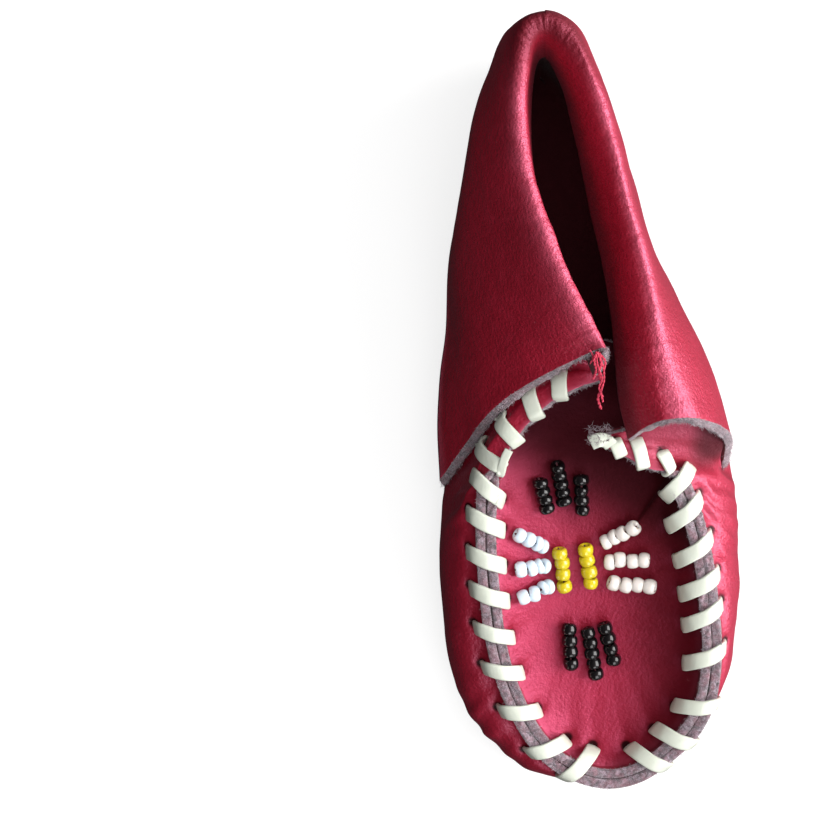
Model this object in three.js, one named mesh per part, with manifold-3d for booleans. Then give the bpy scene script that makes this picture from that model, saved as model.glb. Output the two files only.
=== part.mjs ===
// Infant's moccasin in red leather: a one-piece bottom (sole and sides), a vamp plug with its tongue,
// a folded-over ankle cuff, two flat lacings over the toe seam and fourteen rows of seed beads.
// Units: millimetres. +Z up, toe towards -Y, heel towards +Y. The sole stands on Z = 0.
import * as THREE from 'three';
import { mergeVertices } from 'three/addons/utils/BufferGeometryUtils.js';
import Module from 'manifold-3d';

// ---------------------------------------------------------------- driving dimensions
const LEATHER = 1.2;          // thickness of every leather piece
const LACE_WIDTH = 2.4;        // flat lacing, 3/32 inch
const LACE_THICK = 0.7;
const LACE_IN_HOLE = 1.7;      // width of the lacing where it is pinched in a slit
const SLIT_CLEAR = 0.3;        // room round the lacing in its slits
const BEAD_R = 1.06;           // size 10/0 seed bead, outside radius
const BEAD_CORE = 0.42;        // stitched core that joins the beads of a row
const BEAD_LIFT = 0.3;         // clear gap between a bead row and the plug
const THREAD_R = 0.32;         // waxed sewing thread
const FOLD_V = 3.0;            // ring of the cuff table where the turned-down part begins
const HEEL_FROM = 7.06, HEEL_TO = 12.94;   // cuff stations of the fixed turn-over at the heel

// ---------------------------------------------------------------- shape tables
// BOTTOM: stations round the foot, toe tip first, then up the right side, heel, and down the left.
// Rings of each station: sole outline, bottom corner, widest line, three wall rings, lip base, rim.
const BOTTOM = [
  [[3.22,-52.81,0.0],[3.32,-54.86,2.4],[3.35,-55.61,6.0],[3.34,-55.61,7.52],[3.29,-55.62,8.85],[3.2,-55.63,9.96],[3.08,-55.64,10.6],[3.08,-55.64,13.0]],
  [[6.56,-51.88,0.0],[7.43,-53.73,2.4],[7.75,-54.41,6.0],[7.76,-54.41,7.68],[7.78,-54.41,9.16],[7.83,-54.41,10.39],[7.89,-54.41,11.1],[7.89,-54.41,13.5]],
  [[10.26,-49.36,0.0],[11.57,-50.93,2.4],[12.05,-51.51,6.5],[12.05,-51.5,8.32],[12.06,-51.47,9.91],[12.08,-51.41,11.23],[12.1,-51.32,12.0],[12.1,-51.32,14.4]],
  [[13.79,-45.85,0.0],[15.45,-47.07,2.4],[16.05,-47.51,7.0],[16.03,-47.52,9.05],[15.95,-47.56,10.84],[15.81,-47.63,12.33],[15.61,-47.72,13.2],[15.61,-47.72,15.6]],
  [[16.09,-41.38,0.0],[17.96,-42.21,2.4],[18.65,-42.51,7.5],[18.61,-42.54,9.84],[18.48,-42.64,11.9],[18.23,-42.84,13.61],[17.88,-43.11,14.6],[17.88,-43.11,17.0]],
  [[17.84,-36.59,0.0],[19.83,-37.12,2.4],[20.55,-37.31,8.0],[20.46,-37.35,10.64],[20.14,-37.5,12.96],[19.53,-37.77,14.88],[18.69,-38.15,16.0],[18.69,-38.15,18.4]],
  [[18.68,-31.63,0.0],[20.71,-31.91,2.4],[21.45,-32.01,8.0],[21.31,-32.07,11.1],[20.85,-32.27,13.83],[19.95,-32.67,16.08],[18.71,-33.2,17.4],[18.71,-33.2,19.8]],
  [[19.26,-26.23,0.0],[21.3,-26.36,2.4],[22.05,-26.41,8.0],[21.85,-26.49,11.56],[21.19,-26.78,14.7],[19.9,-27.34,17.29],[18.15,-28.1,18.8],[18.15,-28.1,21.2]],
  [[19.35,-21.31,0.0],[21.4,-21.31,2.4],[22.15,-21.31,8.0],[21.91,-21.38,12.03],[21.11,-21.63,15.56],[19.56,-22.1,18.49],[17.43,-22.75,20.2],[17.43,-22.75,22.6]],
  [[19.26,-17.19,0.0],[21.3,-17.06,2.4],[22.05,-17.01,8.0],[21.76,-17.04,12.49],[20.78,-17.12,16.43],[18.87,-17.29,19.7],[16.27,-17.52,21.6],[16.27,-17.52,24.0]],
  [[18.87,-13.72,0.0],[20.9,-13.49,2.4],[21.65,-13.41,8.0],[21.3,-13.37,12.95],[20.11,-13.22,17.3],[17.8,-12.94,20.9],[14.66,-12.56,23.0],[14.66,-12.56,25.4]],
  [[18.57,-11.11,0.0],[20.6,-10.89,2.4],[21.35,-10.81,8.0],[20.91,-10.71,13.35],[19.4,-10.38,18.04],[16.47,-9.75,21.93],[12.48,-8.87,24.2],[12.48,-8.87,26.6]],
  [[18.48,-10.11,0.0],[20.51,-9.82,2.4],[21.25,-9.71,8.0],[19.97,-9.75,13.56],[18.87,-8.87,18.81],[16.82,-7.78,23.51],[10.13,-8.33,27.6],[8.25,-8.49,28.2]],
  [[18.3,-9.21,0.0],[20.31,-8.84,2.4],[21.05,-8.71,8.0],[19.04,-8.78,13.77],[18.34,-7.35,19.57],[17.17,-5.82,25.1],[7.25,-6.55,29.0],[4.45,-6.76,29.6]],
  [[18.11,-8.1,0.0],[20.12,-7.67,2.4],[20.85,-7.51,8.0],[18.11,-7.81,13.99],[17.81,-5.83,20.33],[17.52,-3.85,26.68],[4.69,-4.11,30.3],[0.42,-4.2,30.6]],
  [[17.42,-5.13,0.0],[19.42,-4.68,2.4],[20.15,-4.51,8.0],[17.59,-3.94,14.19],[17.07,-2.29,20.66],[16.57,-0.62,27.14],[8.9,-1.6,30.7],[6.34,-1.93,31.0]],
  [[16.38,-0.46,0.0],[18.34,0.16,2.4],[19.05,0.39,8.0],[17.07,-0.07,14.38],[16.34,1.26,20.99],[15.62,2.61,27.6],[8.65,1.93,32.5],[5.66,1.63,33.5]],
  [[13.86,6.02,0.0],[15.76,6.8,2.4],[16.45,7.09,8.0],[14.67,6.38,14.42],[13.89,7.54,21.04],[13.11,8.7,27.67],[7.43,8.01,32.5],[5.0,7.71,33.5]],
  [[10.71,13.31,0.0],[12.57,14.18,2.4],[13.25,14.49,8.0],[11.31,13.59,14.91],[10.48,14.53,21.58],[9.66,15.47,28.25],[5.82,14.61,32.5],[4.17,14.24,33.5]],
  [[7.09,20.65,0.0],[8.96,21.49,2.4],[9.65,21.79,8.0],[7.4,20.92,15.93],[6.81,21.64,22.89],[6.21,22.36,29.84],[4.77,21.61,32.3],[3.32,20.87,33.5]],
  [[4.33,27.7,0.0],[6.25,28.42,2.4],[6.95,28.69,8.0],[4.65,28.02,16.97],[4.3,28.64,23.92],[3.96,29.26,30.87],[2.92,28.36,32.4],[1.89,27.47,33.6]],
  [[1.81,34.56,0.0],[3.74,35.24,2.4],[4.45,35.49,8.0],[2.38,34.71,18.0],[2.21,35.2,24.95],[2.05,35.69,31.9],[1.26,34.97,33.4],[0.47,34.25,34.6]],
  [[-0.35,40.95,0.0],[1.55,41.71,2.4],[2.25,41.99,8.0],[0.28,41.31,19.0],[0.16,41.68,25.96],[0.03,42.05,32.92],[-0.46,41.42,34.4],[-0.96,40.79,35.6]],
  [[-2.3,44.97,0.0],[-0.58,46.08,2.4],[0.05,46.49,8.0],[-1.43,46.22,20.01],[-1.67,46.85,26.71],[-1.91,47.48,33.4],[-2.1,46.77,33.75],[-2.3,46.06,34.1]],
  [[-5.27,48.66,0.0],[-3.87,50.15,2.4],[-3.35,50.69,8.0],[-3.96,50.34,21.13],[-4.09,51.19,27.56],[-4.21,52.05,34.0],[-4.07,50.97,34.3],[-3.92,49.9,34.6]],
  [[-7.04,50.71,0.0],[-7.27,52.74,2.4],[-7.35,53.49,8.0],[-6.89,53.87,20.98],[-7.16,53.78,27.71],[-7.42,53.69,34.44],[-7.2,53.06,34.77],[-6.97,52.42,35.1]],
  [[-9.51,47.87,0.0],[-11.0,49.28,2.4],[-11.55,49.79,8.0],[-11.03,49.8,21.24],[-11.49,50.61,27.91],[-11.96,51.42,34.58],[-11.48,50.67,34.84],[-11.0,49.91,35.1]],
  [[-12.57,43.99,0.0],[-14.39,44.94,2.4],[-15.05,45.29,8.0],[-13.35,44.83,20.19],[-13.68,45.76,27.05],[-14.03,46.69,33.9],[-12.96,46.11,34.25],[-11.89,45.53,34.6]],
  [[-14.12,39.05,0.0],[-16.12,39.52,2.4],[-16.85,39.69,8.0],[-15.26,39.5,19.1],[-15.37,40.48,25.92],[-15.49,41.47,32.75],[-13.84,40.8,33.17],[-12.18,40.12,33.6]],
  [[-15.19,32.4,0.0],[-17.21,32.76,2.4],[-17.95,32.89,8.0],[-16.67,32.58,18.04],[-16.54,33.88,24.57],[-16.46,35.18,31.1],[-13.14,33.85,33.1],[-11.72,33.27,34.1]],
  [[-16.58,25.1,0.0],[-18.61,25.39,2.4],[-19.35,25.49,8.0],[-18.24,25.14,16.89],[-17.69,26.68,22.63],[-17.19,28.23,28.37],[-12.22,26.77,32.5],[-10.09,26.14,33.5]],
  [[-17.36,17.04,0.0],[-19.4,17.22,2.4],[-20.15,17.29,8.0],[-19.42,17.17,15.61],[-18.24,18.91,20.63],[-17.11,20.64,25.67],[-10.58,19.84,32.5],[-7.78,19.5,33.5]],
  [[-17.95,9.52,0.0],[-20.0,9.65,2.4],[-20.75,9.69,8.0],[-20.06,9.72,14.37],[-18.18,11.33,19.69],[-16.33,12.93,25.02],[-8.77,12.97,32.5],[-5.53,12.98,33.5]],
  [[-18.25,2.01,0.0],[-20.3,2.07,2.4],[-21.05,2.09,8.0],[-20.41,2.19,13.21],[-17.83,4.43,19.04],[-15.28,6.68,24.89],[-7.18,7.51,32.5],[-3.7,7.87,33.5]],
  [[-18.35,-4.04,0.0],[-20.4,-4.02,2.4],[-21.15,-4.01,8.0],[-20.45,-4.59,12.57],[-17.07,-0.47,19.29],[-13.71,3.65,26.02],[-4.2,6.05,30.9],[-1.03,6.85,31.2]],
  [[-18.35,-9.1,0.0],[-20.4,-9.03,2.4],[-21.15,-9.01,8.0],[-20.48,-10.14,12.05],[-16.45,-4.48,19.49],[-12.43,1.17,26.95],[-2.71,3.74,30.7],[0.54,4.59,31.0]],
  [[-18.58,-10.51,0.0],[-20.61,-10.22,2.4],[-21.35,-10.11,8.0],[-20.68,-11.39,12.24],[-17.17,-6.45,19.21],[-13.53,-1.32,26.06],[-4.66,2.41,30.3],[-2.15,3.46,31.0]],
  [[-18.66,-11.39,0.0],[-20.7,-11.18,2.4],[-21.45,-11.11,8.0],[-20.88,-12.63,12.44],[-17.89,-8.43,18.93],[-14.63,-3.81,25.16],[-7.53,0.65,29.8],[-5.53,1.9,30.4]],
  [[-18.78,-12.49,0.0],[-20.81,-12.21,2.4],[-21.55,-12.11,8.0],[-21.08,-13.88,12.63],[-18.61,-10.4,18.64],[-15.72,-6.3,24.27],[-10.07,-1.78,29.1],[-8.48,-0.51,29.6]],
  [[-18.97,-13.63,0.0],[-21.0,-13.4,2.4],[-21.75,-13.31,8.0],[-21.28,-15.13,12.83],[-19.33,-12.37,18.36],[-16.82,-8.79,23.38],[-12.5,-4.89,28.0],[-11.29,-3.78,28.6]],
  [[-19.05,-14.83,0.0],[-21.1,-14.74,2.4],[-21.85,-14.71,8.0],[-21.48,-16.38,13.02],[-20.06,-14.34,18.08],[-17.92,-11.28,22.48],[-14.5,-8.0,26.7],[-13.53,-7.08,27.4]],
  [[-19.15,-18.05,0.0],[-21.2,-18.02,2.4],[-21.95,-18.01,8.0],[-21.68,-17.62,13.21],[-20.78,-16.31,17.8],[-19.02,-13.77,21.59],[-16.62,-10.3,23.8],[-16.62,-10.3,26.2]],
  [[-19.15,-21.98,0.0],[-21.2,-22.0,2.4],[-21.95,-22.01,8.0],[-21.71,-21.66,12.82],[-20.88,-20.45,17.05],[-19.27,-18.12,20.56],[-17.07,-14.94,22.6],[-17.07,-14.94,25.0]],
  [[-19.05,-26.39,0.0],[-21.1,-26.48,2.4],[-21.85,-26.51,8.0],[-21.61,-26.19,12.36],[-20.79,-25.11,16.18],[-19.2,-23.01,19.35],[-17.04,-20.14,21.2],[-17.04,-20.14,23.6]],
  [[-18.76,-30.74,0.0],[-20.8,-30.94,2.4],[-21.55,-31.01,8.0],[-21.3,-30.76,11.83],[-20.45,-29.92,15.19],[-18.81,-28.29,17.98],[-16.57,-26.06,19.6],[-16.57,-26.06,22.0]],
  [[-18.21,-35.34,0.0],[-20.22,-35.76,2.4],[-20.95,-35.91,8.0],[-20.69,-35.73,11.23],[-19.81,-35.13,14.08],[-18.11,-33.95,16.43],[-15.79,-32.35,17.8],[-15.79,-32.35,20.2]],
  [[-16.74,-40.49,0.0],[-18.65,-41.24,2.4],[-19.35,-41.51,7.5],[-19.1,-41.35,10.3],[-18.26,-40.81,12.77],[-16.62,-39.75,14.81],[-14.39,-38.31,16.0],[-14.39,-38.31,18.4]],
  [[-14.62,-44.56,0.0],[-16.32,-45.7,2.4],[-16.95,-46.11,7.5],[-16.72,-45.98,9.78],[-15.94,-45.52,11.78],[-14.44,-44.64,13.43],[-12.38,-43.44,14.4],[-12.38,-43.44,16.8]],
  [[-12.14,-47.46,0.0],[-13.54,-48.96,2.4],[-14.05,-49.51,7.0],[-13.83,-49.45,8.98],[-13.1,-49.25,10.72],[-11.67,-48.86,12.16],[-9.72,-48.32,13.0],[-9.72,-48.32,15.4]],
  [[-8.19,-50.61,0.0],[-9.11,-52.44,2.4],[-9.45,-53.11,6.5],[-9.28,-53.07,8.25],[-8.7,-52.95,9.79],[-7.56,-52.72,11.06],[-6.02,-52.41,11.8],[-6.02,-52.41,14.2]],
  [[-2.81,-52.16,0.0],[-3.21,-54.17,2.4],[-3.35,-54.91,6.0],[-3.26,-54.9,7.65],[-2.97,-54.88,9.1],[-2.39,-54.84,10.3],[-1.6,-54.78,11.0],[-1.6,-54.78,13.4]]
];
// CUFF: stations from the right front corner round the heel to the left front corner.
// Rings: base inside the ankle, middle of the standing part, inner shoulder, outer shoulder, flap middle, hem.
const CUFF = [
  [[4.19,-4.17,33.6],[6.49,-2.33,37.0],[9.35,-1.2,39.8],[13.91,-1.21,38.5],[19.33,-3.37,27.0],[19.99,-7.56,14.0]],
  [[2.95,1.18,33.2],[4.75,3.12,38.0],[7.86,4.89,41.2],[11.57,5.05,39.8],[17.38,3.2,28.0],[18.92,0.37,14.5]],
  [[2.27,7.39,32.8],[3.88,9.11,38.5],[6.69,10.83,42.0],[9.57,11.01,40.6],[14.82,9.47,28.0],[16.42,7.11,14.5]],
  [[1.45,13.89,32.4],[3.02,15.37,38.8],[5.68,16.89,42.6],[7.85,17.22,41.3],[11.36,16.29,28.5],[13.01,14.43,15.0]],
  [[0.61,20.4,32.2],[2.03,21.63,39.0],[4.14,23.23,43.0],[6.01,23.57,41.8],[7.97,23.05,30.0],[9.13,21.71,16.0]],
  [[-0.8,26.9,32.2],[0.48,28.15,39.3],[2.32,29.55,43.4],[4.18,29.89,42.4],[5.78,29.8,31.0],[6.43,28.66,17.0]],
  [[-2.22,33.68,32.2],[-1.07,34.52,39.7],[0.92,35.59,43.8],[2.63,36.08,42.8],[3.87,36.24,32.0],[4.18,35.3,18.0]],
  [[-3.64,40.16,32.4],[-2.75,40.61,40.0],[-1.04,41.89,44.2],[0.81,42.53,43.2],[1.83,42.65,33.0],[2.09,41.91,19.0]],
  [[-4.92,45.22,32.6],[-4.44,45.85,40.4],[-3.26,47.63,44.6],[-1.71,48.52,44.0],[-0.17,48.24,33.5],[0.29,47.04,20.0]],
  [[-6.34,48.59,32.8],[-6.4,49.69,40.8],[-5.61,51.16,45.0],[-4.2,53.17,44.2],[-2.87,53.39,34.0],[-2.52,51.57,21.0]],
  [[-7.33,49.7,33.0],[-7.79,51.06,41.0],[-7.82,52.51,45.2],[-7.93,54.91,44.6],[-7.53,55.58,34.5],[-7.0,55.76,21.0]],
  [[-8.45,48.87,32.8],[-9.17,49.97,40.8],[-9.74,51.16,45.0],[-11.5,53.43,44.4],[-13.3,52.77,34.5],[-12.5,50.99,21.0]],
  [[-9.15,45.22,32.6],[-9.85,46.13,40.4],[-10.42,47.05,44.8],[-12.73,48.52,44.0],[-15.82,47.34,34.0],[-15.08,45.59,20.0]],
  [[-9.43,40.16,32.4],[-10.11,40.89,40.0],[-10.68,42.14,44.4],[-13.26,42.79,43.4],[-17.35,41.8,33.0],[-17.09,40.02,19.0]],
  [[-9.0,33.68,32.2],[-9.69,34.52,39.7],[-10.25,35.57,44.0],[-12.97,35.94,42.8],[-18.31,35.29,31.5],[-18.53,32.97,18.0]],
  [[-7.44,26.9,32.2],[-8.14,28.15,39.3],[-8.58,29.26,43.6],[-11.57,29.08,42.2],[-18.98,28.08,29.0],[-20.12,25.45,17.0]],
  [[-5.18,20.4,32.2],[-5.76,21.77,39.0],[-6.22,22.94,43.2],[-9.48,22.19,41.6],[-18.8,20.37,26.5],[-21.27,17.32,16.0]],
  [[-2.93,13.89,32.4],[-3.39,15.37,38.8],[-3.57,16.89,42.6],[-6.96,15.85,41.0],[-17.93,12.66,26.0],[-21.85,9.74,15.0]],
  [[-1.12,8.8,32.8],[-1.14,10.22,38.4],[-1.19,12.22,42.0],[-4.57,10.87,40.4],[-16.79,6.36,26.0],[-22.13,2.13,14.0]],
  [[0.23,5.12,34.0],[0.57,6.47,37.8],[0.66,8.36,41.0],[-1.77,7.97,39.8],[-13.84,0.91,28.2],[-22.13,-10.22,13.0]]
];
// PLUG: stations of the plug's outline, each as [base of the raised lip, top of the lip].
const PLUG = [
  [[2.97,-52.74,10.6],[2.97,-52.74,13.0]],
  [[6.62,-51.81,11.1],[6.62,-51.81,13.5]],
  [[10.2,-49.13,12.0],[10.2,-49.13,14.4]],
  [[13.24,-46.05,13.2],[13.24,-46.05,15.6]],
  [[15.12,-42.22,14.6],[15.12,-42.22,17.0]],
  [[15.8,-37.92,16.0],[15.8,-37.92,18.4]],
  [[15.82,-33.36,17.4],[15.82,-33.36,19.8]],
  [[15.27,-28.45,18.8],[15.27,-28.45,21.2]],
  [[14.58,-23.25,20.2],[14.58,-23.25,22.6]],
  [[13.48,-18.28,21.6],[13.48,-18.28,24.0]],
  [[11.99,-13.69,23.0],[11.99,-13.69,25.4]],
  [[10.09,-11.5,23.2],[10.29,-11.28,24.3]],
  [[9.51,-6.2,23.4],[10.03,-5.12,23.4]],
  [[7.88,-1.94,24.2],[8.25,-0.8,24.2]],
  [[5.69,2.33,24.6],[5.92,3.51,24.6]],
  [[2.37,5.47,24.8],[2.47,6.67,24.8]],
  [[-1.22,6.04,24.8],[-1.27,7.24,24.8]],
  [[-4.4,4.04,24.8],[-4.57,5.23,24.8]],
  [[-6.84,0.34,24.6],[-7.14,1.5,24.6]],
  [[-9.66,-4.48,24.4],[-10.15,-3.38,24.4]],
  [[-11.45,-8.27,24.2],[-12.32,-7.77,24.2]],
  [[-13.82,-11.04,23.8],[-13.82,-11.04,26.2]],
  [[-14.17,-15.06,22.6],[-14.17,-15.06,25.0]],
  [[-14.14,-20.01,21.2],[-14.14,-20.01,23.6]],
  [[-13.68,-25.77,19.6],[-13.68,-25.77,22.0]],
  [[-12.93,-31.85,17.8],[-12.93,-31.85,20.2]],
  [[-11.62,-37.46,16.0],[-11.62,-37.46,18.4]],
  [[-9.75,-42.22,14.4],[-9.75,-42.22,16.8]],
  [[-7.35,-46.65,13.0],[-7.35,-46.65,15.4]],
  [[-4.21,-50.14,11.8],[-4.21,-50.14,14.2]],
  [[-0.63,-52.05,11.0],[-0.63,-52.05,13.4]]
];
const PLUG_CENTRE = [-0.04,-26.13,18.0];
// height of the plug along its middle: [y, z]
const PLUG_CROWN = [[-55.39,10.2],[-52.36,10.9],[-48.53,12.3],[-42.5,13.9],[-35.01,15.9],[-27.58,18.0],[-20.22,20.0],[-12.92,22.0],[-7.13,23.2],[1.5,23.8],[7.25,24.0]];
// LACE_*: one row for each turn over the seam, toe to throat:
// point on the ridge, direction along the seam, outward direction, upward direction, half thickness of the ridge
const LACE_LEFT = [
  [-1.961,-53.088,13.528,-0.915,0.38,0.136,-0.383,-0.924,0.0,0.126,-0.052,0.991,1.45],
  [-6.828,-49.634,14.738,-0.654,0.726,0.212,-0.743,-0.669,0.0,0.142,-0.158,0.977,1.45],
  [-10.504,-44.016,16.446,-0.421,0.871,0.252,-0.9,-0.435,0.0,0.109,-0.226,0.968,1.45],
  [-13.006,-37.889,18.4,-0.282,0.917,0.282,-0.956,-0.294,-0.0,0.083,-0.269,0.96,1.45],
  [-14.293,-32.457,20.092,-0.173,0.945,0.279,-0.984,-0.18,0.0,0.05,-0.274,0.96,1.45],
  [-15.048,-26.657,21.793,-0.098,0.958,0.269,-0.995,-0.101,0.0,0.027,-0.267,0.963,1.45],
  [-15.509,-21.525,23.203,-0.065,0.964,0.258,-0.998,-0.067,-0.0,0.017,-0.257,0.966,1.45],
  [-15.654,-16.063,24.709,0.019,0.966,0.259,-1.0,0.02,0.0,-0.005,-0.258,0.966,1.45],
  [-15.428,-11.262,26.054,0.256,0.931,0.26,-0.963,0.269,-0.014,-0.083,-0.246,0.966,1.45],
  [-14.364,-7.09,27.241,0.691,0.674,0.262,0.701,-0.713,-0.015,-0.177,-0.194,0.965,0.6],
  [-11.445,-3.509,29.172,0.594,0.765,0.25,0.52,-0.128,-0.844,0.614,-0.632,0.474,0.6],
  [-8.31,-0.172,30.28,0.706,0.674,0.216,0.296,-0.005,-0.955,0.643,-0.738,0.203,0.6],
  [-5.764,2.455,30.343,0.838,0.513,0.185,0.499,-0.858,0.119,-0.22,0.007,0.976,0.6]
];
const LACE_RIGHT = [
  [9.193,-51.866,13.906,0.78,0.602,0.169,0.611,-0.792,-0.0,-0.133,-0.103,0.986,1.45],
  [12.958,-48.585,14.969,0.691,0.684,0.234,0.704,-0.711,-0.0,-0.167,-0.165,0.972,1.45],
  [16.253,-43.366,16.774,0.338,0.903,0.267,0.937,-0.35,-0.0,-0.094,-0.25,0.964,1.45],
  [17.339,-35.878,19.044,0.005,0.962,0.273,1.0,-0.005,-0.0,-0.001,-0.273,0.962,1.45],
  [16.881,-29.633,20.836,-0.125,0.957,0.26,0.992,0.13,0.0,0.034,-0.258,0.966,1.45],
  [16.291,-24.868,22.096,-0.129,0.96,0.249,0.991,0.133,0.0,0.033,-0.247,0.968,1.45],
  [15.308,-19.61,23.524,-0.222,0.942,0.253,0.973,0.23,0.0,0.058,-0.246,0.967,1.45],
  [13.83,-14.426,24.995,-0.32,0.911,0.26,0.944,0.331,0.0,0.086,-0.245,0.966,1.45],
  [11.921,-10.279,26.435,-0.659,0.686,0.309,0.713,0.7,-0.033,0.239,-0.199,0.95,1.45],
  [9.991,-7.983,27.583,-0.939,-0.044,0.342,0.03,-0.998,-0.047,0.344,-0.034,0.938,0.6],
  [5.206,-7.202,29.975,-0.841,0.46,0.286,-0.231,0.172,-0.958,-0.489,-0.871,-0.038,0.6],
  [2.692,-5.939,30.605,-0.894,0.415,0.171,-0.149,0.087,-0.985,-0.423,-0.906,-0.016,0.6],
  [0.487,-4.651,31.088,-0.42,0.867,0.268,-0.079,0.259,-0.963,-0.904,-0.425,-0.041,0.6]
];
// BEADS: centres of the beads of each row, before they are seated on the plug
const BEADS = {
  white_left_1: [[-10.64,-18.13,21.86],[-9.34,-18.71,21.7],[-8.03,-19.37,21.52],[-7.31,-19.73,21.42]],
  white_left_2: [[-10.46,-23.1,20.5],[-8.86,-22.95,20.54],[-7.71,-22.66,20.62],[-6.98,-22.66,20.62]],
  white_left_3: [[-9.98,-27.22,19.38],[-8.39,-26.7,19.52],[-7.09,-25.89,19.74],[-6.37,-25.74,19.78]],
  yellow_1: [[-4.75,-20.76,21.14],[-4.36,-22.22,20.74],[-4.23,-23.89,20.28],[-3.97,-25.6,19.82]],
  yellow_2: [[-1.0,-20.32,21.26],[-0.74,-21.82,20.85],[-0.38,-23.54,20.38],[-0.14,-25.08,19.96]],
  white_right_1: [[1.94,-19.15,21.58],[3.08,-18.42,21.78],[4.37,-17.83,21.94],[5.8,-17.11,22.14]],
  white_right_2: [[2.56,-22.07,20.78],[4.0,-21.78,20.86],[5.89,-21.87,20.84],[7.48,-21.78,20.86]],
  white_right_3: [[3.19,-25.16,19.94],[4.94,-25.45,19.86],[6.68,-25.45,19.86],[8.42,-25.74,19.78]],
  black_upper_1: [[-7.76,-10.48,23.8],[-7.41,-11.7,23.55],[-7.07,-12.92,23.29],[-6.71,-14.15,22.95]],
  black_upper_2: [[-5.25,-8.18,24.28],[-4.99,-9.41,24.02],[-4.74,-10.65,23.76],[-4.48,-11.89,23.51],[-4.22,-13.12,23.24]],
  black_upper_3: [[-1.77,-10.07,23.89],[-1.72,-11.52,23.59],[-1.67,-12.96,23.28],[-1.62,-14.41,22.88]],
  black_lower_1: [[-3.21,-32.02,18.02],[-3.11,-33.71,17.54],[-3.02,-35.39,17.07],[-2.92,-37.08,16.62]],
  black_lower_2: [[-0.46,-32.6,17.86],[-0.15,-34.13,17.42],[0.16,-35.66,17.0],[0.47,-37.2,16.59],[0.78,-38.73,16.18]],
  black_lower_3: [[2.05,-31.85,18.07],[2.48,-33.4,17.63],[2.9,-34.95,17.19],[3.33,-36.51,16.77]]
};

// ---------------------------------------------------------------- helpers
const V = (a) => new THREE.Vector3(a[0], a[1], a[2]);
const range = (a, b, n) => Array.from({ length: n + 1 }, (_, i) => a + ((b - a) * i) / n);
const ringCurve = (table, ring, closed) =>
  new THREE.CatmullRomCurve3(table.map((s) => V(s[ring])), closed, 'catmullrom', 0.5);

// grid[v][u] of points sampled on a table: us in station units, vs in ring units (null: the rings themselves)
function sampleTable(table, closed, us, vs) {
  const n = table.length, rings = table[0].length;
  const curves = range(0, rings - 1, rings - 1).map((r) => ringCurve(table, r, closed));
  const cols = us.map((u) => curves.map((c) => c.getPoint(u / (closed ? n : n - 1))));
  if (!vs) return range(0, rings - 1, rings - 1).map((r) => cols.map((c) => c[r]));
  const across = cols.map((c) => new THREE.CatmullRomCurve3(c, false, 'catmullrom', 0.5));
  return vs.map((v) => across.map((c) => c.getPoint(v / (rings - 1))));
}

// unit normals of a grid, by central differences
function gridNormals(g, closed, sign) {
  const nv = g.length, nu = g[0].length;
  return g.map((row, v) => row.map((p, u) => {
    const ua = closed ? (u + nu - 1) % nu : Math.max(u - 1, 0);
    const ub = closed ? (u + 1) % nu : Math.min(u + 1, nu - 1);
    const du = row[ub].clone().sub(row[ua]);
    const a = g[Math.max(v - 1, 0)][u], b = g[Math.min(v + 1, nv - 1)][u];
    const dv = b.clone().sub(a);
    return du.cross(dv).normalize().multiplyScalar(sign);
  }));
}

const offsetGrid = (g, n, d) => g.map((row, v) => row.map((p, u) => p.clone().addScaledVector(n[v][u], d)));

// closed shell between two grids. first: 'rim', 'cap' (flat ends at ring 0) or 'fan' with the two centres
function shell(outer, inner, closed, first = 'rim', centres = null) {
  const nv = outer.length, nu = outer[0].length, pos = [], tri = [];
  const push = (p) => { pos.push(p.x, p.y, p.z); return pos.length / 3 - 1; };
  const o = outer.map((r) => r.map(push)), i = inner.map((r) => r.map(push));
  const quad = (a, b, c, d) => { tri.push(a, b, c, a, c, d); };
  const last = closed ? nu : nu - 1;
  for (let v = 0; v < nv - 1; v++) for (let u = 0; u < last; u++) {
    const w = (u + 1) % nu;
    quad(o[v][u], o[v][w], o[v + 1][w], o[v + 1][u]);
    quad(i[v][u], i[v + 1][u], i[v + 1][w], i[v][w]);
  }
  for (let u = 0; u < last; u++) {
    const w = (u + 1) % nu, t = nv - 1;
    quad(o[t][u], o[t][w], i[t][w], i[t][u]);
    if (first === 'rim') quad(o[0][w], o[0][u], i[0][u], i[0][w]);
  }
  if (!closed) for (let v = 0; v < nv - 1; v++) {
    const t = nu - 1;
    quad(o[v][0], o[v + 1][0], i[v + 1][0], i[v][0]);
    quad(o[v + 1][t], o[v][t], i[v][t], i[v + 1][t]);
  }
  if (first === 'cap') {
    for (const [ids, ring, flip] of [[o[0], outer[0], true], [i[0], inner[0], false]]) {
      const flat = ring.map((p) => new THREE.Vector2(p.x, p.y));
      const ccw = THREE.ShapeUtils.area(flat) > 0;
      for (const [a, b, c] of THREE.ShapeUtils.triangulateShape(flat, [])) {
        const s = THREE.ShapeUtils.area([flat[a], flat[b], flat[c]]) > 0;
        if ((s === ccw) !== flip) tri.push(ids[a], ids[b], ids[c]); else tri.push(ids[a], ids[c], ids[b]);
      }
    }
  }
  if (first === 'fan') {
    const co = push(centres[0]), ci = push(centres[1]);
    for (let u = 0; u < last; u++) {
      const w = (u + 1) % nu;
      tri.push(co, o[0][w], o[0][u]);
      tri.push(ci, i[0][u], i[0][w]);
    }
  }
  return outward(bufferOf(pos, tri));
}

function bufferOf(pos, tri) {
  const g = new THREE.BufferGeometry();
  g.setAttribute('position', new THREE.Float32BufferAttribute(pos, 3));
  g.setIndex(tri);
  return mergeVertices(g, 1e-4);
}

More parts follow.
